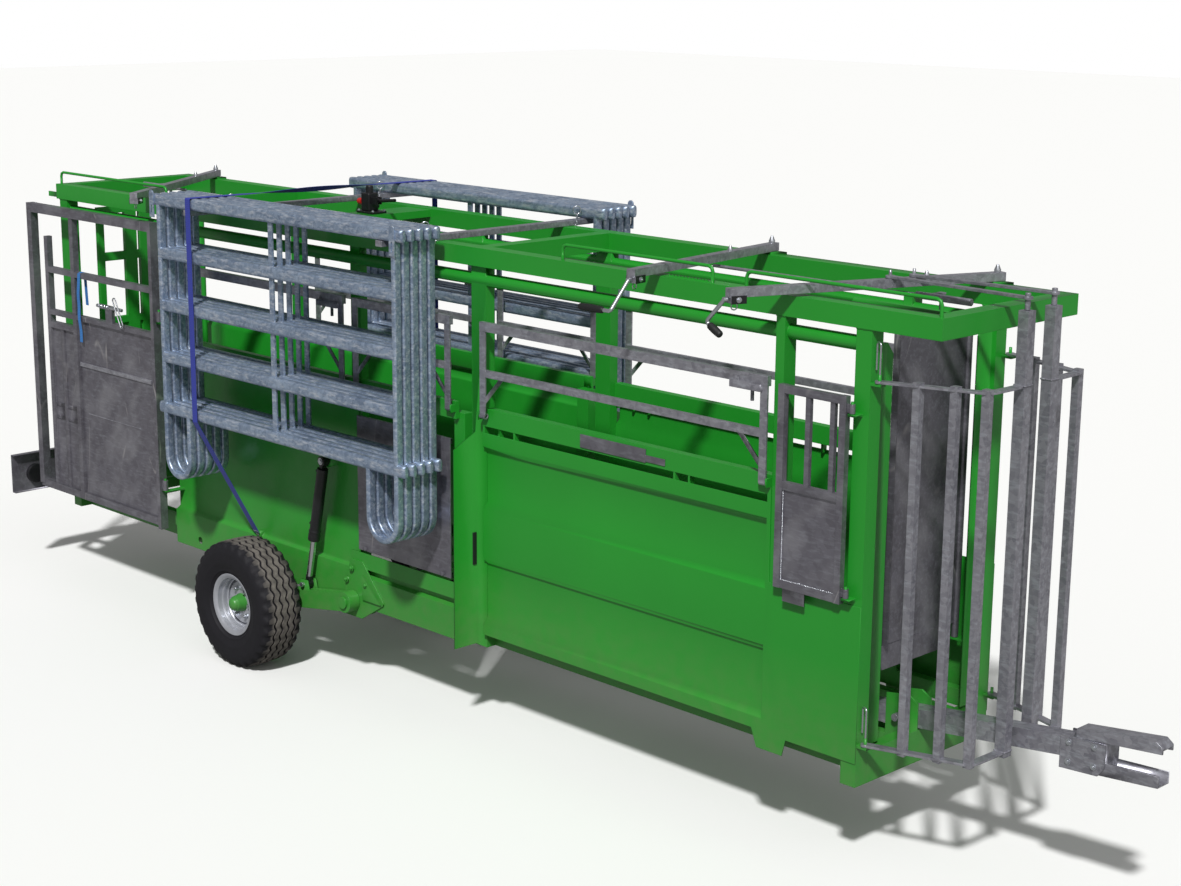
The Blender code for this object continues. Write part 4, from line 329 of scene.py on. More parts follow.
def make_finishes():
    """Makes each material once; pieces ask for them by these keys."""
    tint, crystal = colours(), sizes().spangle
    tube = tuple(tint.tube_light), tuple(tint.tube_dark)
    sheet = tuple(tint.sheet_light), tuple(tint.sheet_dark)
    hurdle = tuple(tint.hurdle_light), tuple(tint.hurdle_dark)
    wheel_low, wheel_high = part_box("near_tyre")
    centre = (wheel_low + wheel_high) / 2
    FINISHES.update(
        enamel=sprayed_gloss_enamel("sprayed gloss enamel, green", tuple(tint.enamel)),
        zinc=hot_dip_galvanised("hot dip galvanised tube", *tube, crystal, 0.0, 0.3),
        zinc_sheet=hot_dip_galvanised("hot dip galvanised sheet", *sheet, crystal * 1.6, 0.75, 0.12),
        zinc_rough=hot_dip_galvanised("hot dip galvanised hurdle tube", *hurdle, crystal * 0.7, 0.0, 0.75),
        plated=plain_metal("bright zinc plated steel", linear("#C3C6CC"), 0.9, 0.28, 25),
        chrome=plain_metal("hard chrome plated steel", linear("#D5D7DB"), 1.0, 0.09, 90),
        wheel=plain_metal("silver wheel lacquer", tuple(tint.wheel), 0.55, 0.38, 45),
        black=plain_metal("black chassis enamel", tuple(tint.black), 0.0, 0.36, 30),
        grip=plain_metal("moulded grip rubber", linear("#131315"), 0.0, 0.62, 8),
        red=plain_metal("red moulded cap", linear("#B3201C"), 0.0, 0.35, 12),
        lens=plain_metal("red moulded lamp lens", linear("#8E1512"), 0.0, 0.18, 10),
        webbing=woven_polyester_webbing("woven polyester webbing", tuple(tint.webbing)),
        spare_webbing=woven_polyester_webbing("woven polyester webbing, spare", tuple(tint.spare_webbing)),
        tyre=moulded_tyre_rubber("moulded tyre rubber", centre, (wheel_high.z - wheel_low.z) / 2),
    )


def drum(radius, low, high):
    """The outline of a plain disc or drum, to be turned on its axis."""
    return [(0, low), (radius, low), (radius, high), (0, high)]


def eye_ring(bore, outer, half):
    """The outline of a pin's eye with eased outer edges, to be turned on its axis."""
    ease, drop_in = 0.001, 0.0025
    return [
        (bore, -half), (outer - ease, -half), (outer, -half + drop_in), (outer, half - drop_in),
        (outer - ease, half), (bore, half),
    ]


def rounded_section(width, height, corner, steps=3):
    """A rectangle with round corners, as (across, up) points."""
    points = []
    corners = ((1, 1, 0), (-1, 1, 90), (-1, -1, 180), (1, -1, 270))
    for right, top, turn in corners:
        middle = (right * (width / 2 - corner), top * (height / 2 - corner))
        for k in range(steps + 1):
            angle = math.radians(turn + 90 * k / steps)
            points.append((middle[0] + corner * math.cos(angle), middle[1] + corner * math.sin(angle)))
    return points


def round_section(radius, sides=12):
    return [
        (radius * math.cos(math.tau * k / sides), radius * math.sin(math.tau * k / sides))
        for k in range(sides)
    ]


def bent(points, radius, steps=5):
    """The path with each inner corner turned into an arc."""
    points = [Vector(point) for point in points]
    path = [points[0]]
    for before, corner, after in zip(points, points[1:], points[2:]):
        to_before, to_after = (before - corner).normalized(), (after - corner).normalized()
        half = to_before.angle(to_after) / 2
        centre = corner + (to_before + to_after).normalized() * radius / math.sin(half)
        first = corner + to_before * radius / math.tan(half) - centre
        last = corner + to_after * radius / math.tan(half) - centre
        for k in range(steps + 1):
            path.append(centre + first.lerp(last, k / steps).normalized() * radius)
    return path + [points[-1]]


def nosed(start, end, nose, steps=4, keep_height=0.86):
    """A straight path whose ends narrow to a round nose, with the section's scale at each point."""
    start, end = Vector(start), Vector(end)
    way = (end - start).normalized()
    offsets, scales = [], []
    for k in range(steps + 1):
        angle = math.radians(14 + 76 * k / steps)
        offsets.append(nose * (1 - math.cos(angle)))
        height = keep_height + (1 - keep_height) * math.sin(angle)
        scales.append((math.sin(angle), height))
    path = [start + way * offset for offset in offsets] + [end - way * offset for offset in reversed(offsets)]
    return path, scales + scales[::-1]


def wire_ring(shells, centre, radius, wire, normal, tall=1.0):
    """A closed ring of wire, taller than it is wide by the last factor."""
    normal = Vector(normal).normalized()
    first = normal.cross(Z_AXIS).normalized()
    second = first.cross(normal)
    path = []
    for k in range(24):
        angle = math.tau * k / 24
        path.append(centre + first * radius * math.cos(angle) + second * radius * tall * math.sin(angle))
    shells.sweep(path, round_section(wire, 8), None, None, True)


def linked(name, data):
    """An object with this data, in the scene."""
    made = bpy.data.objects.new(name, data)
    bpy.context.scene.collection.objects.link(made)
    return made


def evaluated(piece):
    """The object's mesh as its curve settings and modifiers leave it."""
    bpy.context.view_layer.update()
    return bpy.data.meshes.new_from_object(piece.evaluated_get(bpy.context.evaluated_depsgraph_get()))


class Shells:
    """Closed shells gathered into one mesh."""

    def __init__(self):
        self.whole = bmesh.new()

    def add(self, shell, bevel=0.0, steps=2, merge=0.0):
        """Turns a shell's faces outwards, rounds its edges and adds it."""
        if merge:
            bmesh.ops.remove_doubles(shell, verts=shell.verts, dist=merge)
        bmesh.ops.recalc_face_normals(shell, faces=shell.faces)
        if bevel:
            edges = [e for e in shell.edges if e.is_manifold and e.calc_face_angle(0) > math.radians(50)]
            bmesh.ops.bevel(shell, geom=edges, offset=bevel, segments=steps, profile=0.5, affect="EDGES")
        data = bpy.data.meshes.new("shell")
        shell.to_mesh(data)
        shell.free()
        self.whole.from_mesh(data)
        bpy.data.meshes.remove(data)

    def box(self, x, y, z, bevel=0.002):
        spans = [sorted(pair) for pair in (x, y, z)]
        shell = bmesh.new()
        bmesh.ops.create_cube(shell, size=1)
        for vertex in shell.verts:
            vertex.co = [low + (high - low) * (c + 0.5) for (low, high), c in zip(spans, vertex.co)]
        self.add(shell, bevel)

    def sweep(self, path, section, across=None, scales=None, loop=False):
        """A section along a path. With across it keeps that direction and its corners are mitred."""
        path = [Vector(point) for point in path]
        count = len(path)
        scales = scales or [(1, 1)] * count
        sides = None
        if across is not None:
            sides = across if isinstance(across, list) else [Vector(across).normalized()] * count
        shell = bmesh.new()
        rings = []
        turning = None
        for k, point in enumerate(path):
            before = (point - path[k - 1]).normalized() if k or loop else None
            after = (path[(k + 1) % count] - point).normalized() if k + 1 < count or loop else None
            ahead = before or after
            if before and after:
                ahead = (before + after).normalized()
            if sides is not None:
                right = sides[k]
                rise = right.cross(ahead).normalized() / max(0.3, ahead.dot(before or after))
            else:
                turning = ahead.orthogonal() if turning is None else turning - ahead * turning.dot(ahead)
                turning.normalize()
                right, rise = turning, ahead.cross(turning)
            wide, tall = scales[k]
            rings.append([shell.verts.new(point + right * a * wide + rise * b * tall) for a, b in section])
        for k in range(count if loop else count - 1):
            first, second = rings[k], rings[(k + 1) % count]
            for j in range(len(section)):
                after = (j + 1) % len(section)
                shell.faces.new((first[j], first[after], second[after], second[j]))
        if not loop:
            shell.faces.new(rings[0])
            shell.faces.new(rings[-1])
        self.add(shell)

    def rod(self, start, end, radius, sides=12, nose=0.0):
        if nose:
            path, scales = nosed(start, end, nose, 3, 0.0)
            scales = [(wide, wide) for wide, _ in scales]
            self.sweep(path, round_section(radius, sides), None, scales)
        else:
            self.sweep([start, end], round_section(radius, sides))

    def lathe(self, profile, centre, axis, steps=48):
        """A closed (radius, along) outline turned round an axis."""
        centre, axis = Vector(centre), Vector(axis).normalized()
        first = axis.orthogonal().normalized()
        second = axis.cross(first)
        shell = bmesh.new()
        rings = []
        for radius, along in profile:
            if radius < 1e-6:
                rings.append([shell.verts.new(centre + axis * along)] * steps)
                continue
            ring = []
            for k in range(steps):
                angle = math.tau * k / steps
                spoke = first * math.cos(angle) + second * math.sin(angle)
                ring.append(shell.verts.new(centre + spoke * radius + axis * along))
            rings.append(ring)
        for k, ring in enumerate(rings):
            after = rings[(k + 1) % len(rings)]
            for j in range(steps):
                corners = [ring[j], ring[(j + 1) % steps], after[(j + 1) % steps], after[j]]
                corners = list(dict.fromkeys(corners))
                if len(corners) > 2:
                    shell.faces.new(corners)
        self.add(shell)

    def plate(self, outlines, axis, low, high, bevel=0.0008):
        """A flat plate cut to the first outline, with the others as holes in it."""
        curve = bpy.data.curves.new("plate", "CURVE")
        curve.dimensions = "2D"
        curve.fill_mode = "BOTH"
        curve.extrude = (high - low) / 2 - bevel
        curve.bevel_depth = bevel
        curve.offset = -bevel
        for outline in outlines:
            spline = curve.splines.new("POLY")
            spline.points.add(len(outline) - 1)
            spline.use_cyclic_u = True
            for point, (a, b) in zip(spline.points, outline):
                point.co = (a, b, 0, 1)
        holder = linked("plate", curve)
        data = evaluated(holder)
        bpy.data.objects.remove(holder, do_unlink=True)
        middle = (low + high) / 2
        turns = {
            "X": Matrix(((0, 0, 1, middle), (1, 0, 0, 0), (0, 1, 0, 0), (0, 0, 0, 1))),
            "Y": Matrix(((1, 0, 0, 0), (0, 0, 1, middle), (0, 1, 0, 0), (0, 0, 0, 1))),
            "Z": Matrix(((1, 0, 0, 0), (0, 1, 0, 0), (0, 0, 1, middle), (0, 0, 0, 1))),
        }
        data.transform(turns[axis])
        shell = bmesh.new()
        shell.from_mesh(data)
        bpy.data.meshes.remove(data)
        self.add(shell, merge=1e-5)

    def thing(self, name):
        """The gathered shells as one linked object."""
        data = bpy.data.meshes.new(name)
        self.whole.to_mesh(data)
        self.whole.free()
        return linked(name, data)


def settle(piece, finish, body, nodes=(), angle=50):
    """Gives a piece its material, even shading, its body, and the solids that it stands for."""
    data = piece.data
    data.materials.clear()
    data.materials.append(FINISHES[finish])
    data.shade_smooth()
    data.set_sharp_from_angle(angle=math.radians(angle))
    evened = piece.modifiers.new("Even normals", "WEIGHTED_NORMAL")
    evened.keep_sharp = True
    piece.data = evaluated(piece)
    piece.modifiers.clear()
    piece.data.name = piece.name
    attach(piece, body)
    if nodes:
        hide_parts(*nodes)
    return piece


def body_of(node):
    return FRAME["nodes"][node]["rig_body"]


def overlapped(shell):
    """True where a face folds over itself."""
    areas = {}
    for corners in shell.calc_loop_triangles():
        first, second, third = (corner.vert.co for corner in corners)
        face = corners[0].face
        areas[face] = areas.get(face, 0) + (second - first).cross(third - first).length / 2
    return any(total > face.calc_area() * 1.002 + 1e-8 for face, total in areas.items())


def joined_faces(node, radius):
    """A copy of a solid with its loose triangles joined into faces and its edges rounded."""
    shell = bmesh.new()
    shell.from_mesh(FRAME["nodes"][node].data)
    bmesh.ops.remove_doubles(shell, verts=shell.verts, dist=1e-5)
    bmesh.ops.dissolve_degenerate(shell, dist=1e-4, edges=shell.edges)
    bmesh.ops.dissolve_limit(shell, angle_limit=math.radians(1), verts=shell.verts, edges=shell.edges)
    if radius:
        edges = [e for e in shell.edges if e.is_manifold and e.calc_face_angle(0) > math.radians(50)]
        bmesh.ops.bevel(
            shell, geom=edges, offset=radius, segments=2, profile=0.5, affect="EDGES", clamp_overlap=False
        )
    return shell


def softened(node, finish, bevel):
    """The finished form of a solid, its edges rounded where that folds no face over itself."""
    for radius in (bevel, bevel / 2, 0):
        shell = joined_faces(node, radius)
        if not radius or not overlapped(shell):
            break
        shell.free()
    data = bpy.data.meshes.new(node)
    shell.to_mesh(data)
    shell.free()
    return settle(linked(node + "_finished", data), finish, body_of(node), (node,))


def new_tree(name, **kinds):
    """A geometry tree with its named inputs; returns it with the sockets that they give."""
    tree = bpy.data.node_groups.new(name, "GeometryNodeTree")
    for way in ("INPUT", "OUTPUT"):
        tree.interface.new_socket("Geometry", in_out=way, socket_type="NodeSocketGeometry")
    for label, kind in kinds.items():
        tree.interface.new_socket(label, in_out="INPUT", socket_type="NodeSocket" + kind)
    return tree, node_in(tree, "NodeGroupInput").outputs


def close_tree(tree, geometry, material):
    real = node_in(tree, "GeometryNodeRealizeInstances", {"Geometry": geometry}).outputs["Geometry"]
    painted = node_in(tree, "GeometryNodeSetMaterial", {"Geometry": real, "Material": material})
    node_in(tree, "NodeGroupOutput", {"Geometry": painted.outputs["Geometry"]})
    return tree


def copied(tree, points, shape, **more):
    """Copies of a geometry at points, with their turns or scales where more gives them."""
    given = {"Points": points, "Instance": shape, **more}
    return node_in(tree, "GeometryNodeInstanceOnPoints", given).outputs["Instances"]


def shape_of(tree, given):
    return node_in(tree, "GeometryNodeObjectInfo", {"Object": given}).outputs["Geometry"]


def hurdle_tree():
    """Two nosed rails and the plain ones between them, set on the end frames that come in."""
    tree, given = new_tree(
        "Hurdle", Rails="Int", Pitch="Float", Nosed="Object", Plain="Object", Material="Material"
    )
    reach = maths(tree, "MULTIPLY", maths(tree, "SUBTRACT", given["Rails"], 1.0), given["Pitch"])
    inner = maths(tree, "SUBTRACT", given["Rails"], 2.0)
    far = node_in(tree, "ShaderNodeCombineXYZ", {"Z": reach}).outputs["Vector"]
    step = node_in(tree, "ShaderNodeCombineXYZ", {"Z": given["Pitch"]}).outputs["Vector"]
    joined = node_in(tree, "GeometryNodeJoinGeometry", {"Geometry": given["Geometry"]})
    for rail, row in (
        ("Nosed", {"Count": 2, "Offset": far}),
        ("Plain", {"Count": inner, "Start Location": step, "Offset": step}),
    ):
        line = node_in(tree, "GeometryNodeMeshLine", row, mode="OFFSET").outputs["Mesh"]
        tree.links.new(copied(tree, line, shape_of(tree, given[rail])), joined.inputs["Geometry"])
    return close_tree(tree, joined.outputs["Geometry"], given["Material"])


def ring_tree():
    """Copies of what comes in, turned about the Y direction round a centre."""
    tree, given = new_tree("Ring", Count="Int", Centre="Vector", Material="Material")
    points = node_in(tree, "GeometryNodePoints", {"Count": given["Count"], "Position": given["Centre"]})
    index = node_in(tree, "GeometryNodeInputIndex").outputs["Index"]
    angle = maths(tree, "MULTIPLY", maths(tree, "DIVIDE", index, given["Count"]), math.tau)
    turn = node_in(tree, "ShaderNodeCombineXYZ", {"Y": angle}).outputs["Vector"]
    copies = copied(tree, points.outputs["Points"], given["Geometry"], Rotation=turn)
    return close_tree(tree, copies, given["Material"])


def scatter_tree():
    """One copy of a fixing at each point that comes in, standing along the point's facing."""
    tree, given = new_tree("Fixings", Fixing="Object", Material="Material")
    named = "GeometryNodeInputNamedAttribute"
    facing = node_in(tree, named, {"Name": "facing"}, data_type="FLOAT_VECTOR").outputs["Attribute"]
    size = node_in(tree, named, {"Name": "size"}, data_type="FLOAT").outputs["Attribute"]
    turn = node_in(tree, "FunctionNodeAlignRotationToVector", {"Vector": facing}, axis="Z")
    shape = shape_of(tree, given["Fixing"])
    copies = copied(tree, given["Geometry"], shape, Rotation=turn.outputs["Rotation"], Scale=size)
    return close_tree(tree, copies, given["Material"])


def bead_tree():
    """Overlapping drops of weld along the edges that come in, each a little different."""
    tree, given = new_tree("Weld bead", Bead="Float", Seed="Int", Material="Material")
    line = node_in(tree, "GeometryNodeMeshToCurve", {"Mesh": given["Geometry"]}).outputs["Curve"]
    spacing = {"Curve": line, "Length": given["Bead"]}
    even = node_in(tree, "GeometryNodeResampleCurve", spacing, mode="LENGTH").outputs["Curve"]
    drop_of_weld = node_in(tree, "GeometryNodeMeshIcoSphere", {"Subdivisions": 1, "Radius": given["Bead"]})
    size = node_in(tree, "FunctionNodeRandomValue", {"Seed": given["Seed"]}, data_type="FLOAT")
    for name, value in (("Min", 0.8), ("Max", 1.15)):
        for socket in size.inputs:
            if socket.name == name and socket.type == "VALUE":
                socket.default_value = value
    random_size = [socket for socket in size.outputs if socket.type == "VALUE"][0]
    copies = copied(tree, even, drop_of_weld.outputs["Mesh"], Scale=random_size)
    return close_tree(tree, copies, given["Material"])


def grown(host, tree, **values):
    """Runs a tree on an object and keeps the result as its plain mesh."""
    modifier = host.modifiers.new(tree.name, "NODES")
    modifier.node_group = tree
    for socket in tree.interface.items_tree:
        if socket.in_out == "INPUT" and socket.name in values:
            modifier[socket.identifier] = values[socket.name]
    data = evaluated(host)
    host.modifiers.clear()
    host.data = data
    return host


def drop(*things):
    for thing in things:
        bpy.data.objects.remove(thing, do_unlink=True)


def placed(source, name, offset):
    """A copy of a shape moved by an offset, its place in its mesh."""
    data = source.data.copy()
    data.transform(Matrix.Translation(offset))
    return linked(name, data)


def fixings(name, shape, places, finish, body):
    """Copies of a fixing at (point, facing, size) places, as one piece."""
    data = bpy.data.meshes.new(name)
    data.from_pydata([point for point, _, _ in places], [], [])
    data.attributes.new("facing", "FLOAT_VECTOR", "POINT")
    data.attributes.new("size", "FLOAT", "POINT")
    for k, (_, way, scale) in enumerate(places):
        data.attributes["facing"].data[k].vector = way
        data.attributes["size"].data[k].value = scale
    host = grown(linked(name, data), TREES["fixings"], Fixing=shape, Material=FINISHES[finish])
    return settle(host, finish, body)


def welded(name, loops, finish, body, seed=1):
    """A weld bead along closed loops of points."""
    points, edges = [], []
    for loop in loops:
        first = len(points)
        points += loop
        edges += [(first + k, first + (k + 1) % len(loop)) for k in range(len(loop))]
    data = bpy.data.meshes.new(name)
    data.from_pydata(points, edges, [])
    host = linked(name, data)
    grown(host, TREES["beads"], Bead=sizes().bead, Seed=seed, Material=FINISHES[finish])
    return settle(host, finish, body, angle=80)


TREES = {}


def hex_bolt():
    """A hexagon head on a washer, one metre across the flats' corners being size one."""
    shells = Shells()
    shells.lathe(drum(0.72, 0, 0.1), (0, 0, 0), Z_AXIS, 20)
    head = [(0.5 * math.cos(math.tau * k / 6), 0.5 * math.sin(math.tau * k / 6)) for k in range(6)]
    shells.plate([head], "Z", 0.08, 0.46, 0.05)
    shells.rod((0, 0, 0.4), (0, 0, 0.62), 0.24, 10)
    return shells.thing("hex bolt")


class RACE_OT_finishes(bpy.types.Operator):
    """Makes the materials and the geometry trees"""

    bl_idname = "race.finishes"
    bl_label = "Finishes"

    def execute(self, context):
        make_finishes()
        TREES.update(hurdle=hurdle_tree(), ring=ring_tree(), fixings=scatter_tree(), beads=bead_tree())
        return {"FINISHED"}


class RACE_OT_frame(bpy.types.Operator):
    """Finishes the enamelled frame, side sheets, arms and rear door"""

    bl_idname = "race.frame"
    bl_label = "Enamelled frame"

    def execute(self, context):
        for node, bevel in (("top_frame", 0.004), ("base_frame", 0.002), ("rear_door", 0.0014)):
            softened(node, "enamel", bevel)
        for side, _ in SIDES:
            for node, bevel in (
                ("side_frame", 0.003), ("front_panel", 0.0013), ("rear_panel", 0.0013), ("arm", 0.003),
            ):
                softened(f"{side}_{node}", "enamel", bevel)
        return {"FINISHED"}


class RACE_OT_zinc(bpy.types.Operator):
    """Finishes the galvanised doors, bars, yoke, levers, rods, carriers and drawbar"""

    bl_idname = "race.zinc"
    bl_label = "Galvanised parts"

    def execute(self, context):
        plain = (
            ("yoke_lever", 0.0025), ("door_lever", 0.0025), ("rear_lever", 0.0025),
            ("front_door_rod", 0.001), ("rear_door_rod", 0.001), ("front_carrier", 0.002),
            ("rear_carrier", 0.002), ("drawbar_pin", 0.001), ("drawbar", 0.0028),
        )
        for node, bevel in plain:
            softened(node, "zinc", bevel)
        sheets = (
            ("side_door", 0.0012), ("front_door", 0.0012), ("vet_door", 0.0016), ("rear_gate", 0.0016),
            ("light_board", 0.001),
        )
        for node, bevel in sheets:
            softened(node, "zinc_sheet", bevel)
        for side, _ in SIDES:
            for node, bevel in (
                ("yoke_wing", 0.003), ("push_rod", 0.002), ("front_bar_frame", 0.002),
                ("short_bar_frame", 0.002), ("rear_bar_frame", 0.002),
            ):
                softened(f"{side}_{node}", "zinc", bevel)
        return {"FINISHED"}


class RACE_OT_hurdles(bpy.types.Operator):
    """Builds both stacks of loose hurdles and the hanging plates of the outer ones"""

    bl_idname = "race.hurdles"
    bl_label = "Hurdles"

    rails = 5
    rail_height = 0.065
    pitch = 0.29
    cap = 0.05
    upright = 0.03
    loop_width = 0.25

    def end_frame(self, shells, x, way, low, top):
        """An end upright that turns under into a foot and back up to the bottom rail."""
        radius = (self.loop_width - self.upright) / 2
        path = [Vector((x, 0, top - 0.012))]
        base = low + self.upright / 2 + radius
        for k in range(17):
            angle = math.pi * k / 16
            path.append(
                Vector((x + way * radius * (1 - math.cos(angle)), 0, base - radius * math.sin(angle))),
            )
        path.append(Vector((x + way * 2 * radius, 0, low + self.upright + 2 * radius + 0.12)))
        shells.sweep(path, rounded_section(self.depth - 0.001, self.upright, 0.011), Y_AXIS)

    def execute(self, context):
        low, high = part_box("near_hurdle_1")
        self.depth = high.y - low.y
        rear, front = low.x + self.cap, high.x - self.cap
        bottom = high.z - self.rail_height / 2 - (self.rails - 1) * self.pitch
        section = rounded_section(self.depth, self.rail_height, sizes().rail_corner, 4)
        nosed_rail = Shells()
        path, scales = nosed((low.x, 0, bottom), (high.x, 0, bottom), 0.024, 5)
        nosed_rail.sweep(path, section, Y_AXIS, scales)
        nosed_rail = nosed_rail.thing("nosed rail")
        plain_rail = Shells()
        plain_rail.sweep([(rear + 0.01, 0, bottom), (front - 0.01, 0, bottom)], section, Y_AXIS)
        plain_rail = plain_rail.thing("plain rail")
        ends = Shells()
        self.end_frame(ends, rear + self.upright / 2, 1, low.z, high.z)
        self.end_frame(ends, front - self.upright / 2, -1, low.z, high.z)
        middle = (rear + front) / 2
        ends.box((middle - 0.0175, middle + 0.0175), (-0.006, 0.006), (bottom, high.z - 0.01), 0.0015)
        pattern = grown(
            ends.thing("hurdle"), TREES["hurdle"], Rails=self.rails, Pitch=self.pitch, Nosed=nosed_rail,
            Plain=plain_rail, Material=FINISHES["zinc_rough"],
        )
        for side, _ in SIDES:
            for k in range(1, 6):
                node = f"{side}_hurdle_{k}"
                node_low, node_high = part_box(node)
                if k == 5:
                    outer = node_low.y if side == "near" else node_high.y
                    inward = 1 if side == "near" else -1
                    y = outer + inward * (0.006 + self.depth / 2)
                else:
                    y = (node_low.y + node_high.y) / 2
                piece = placed(pattern, node + "_finished", Vector((0, y, 0)))
                settle(piece, "zinc_rough", ROOT, (node,))
        drop(pattern, nosed_rail, plain_rail)
        self.hanging_plates(rear, front)
        return {"FINISHED"}

    def hanging_plates(self, rear, front):
        """Slotted plates with round heads, welded on the outer hurdle's top rail."""
        for side, sign in SIDES:
            low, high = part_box(f"{side}_hurdle_5")
            face = low.y if sign < 0 else high.y
            shells = Shells()
            for x in (rear - 0.03, front - 0.01):
                outline = [(x - 0.02, high.z - 0.15), (x + 0.02, high.z - 0.15)]
                for k in range(9):
                    angle = math.pi * k / 8
                    outline.append((x + 0.02 * math.cos(angle), high.z - 0.02 + 0.02 * math.sin(angle)))
                slot = []
                for k in range(12):
                    angle = math.tau * k / 12
                    rise = 0.018 if math.sin(angle) >= 0 else -0.018
                    slot.append(
                        (x + 0.006 * math.cos(angle), high.z - 0.105 + rise + 0.006 * math.sin(angle)),
                    )
                edge = sorted((face, face - sign * 0.007))
                shells.plate([outline, slot], "Y", *edge)
            settle(shells.thing(f"{side}_hanging_plates"), "zinc_rough", ROOT, ())


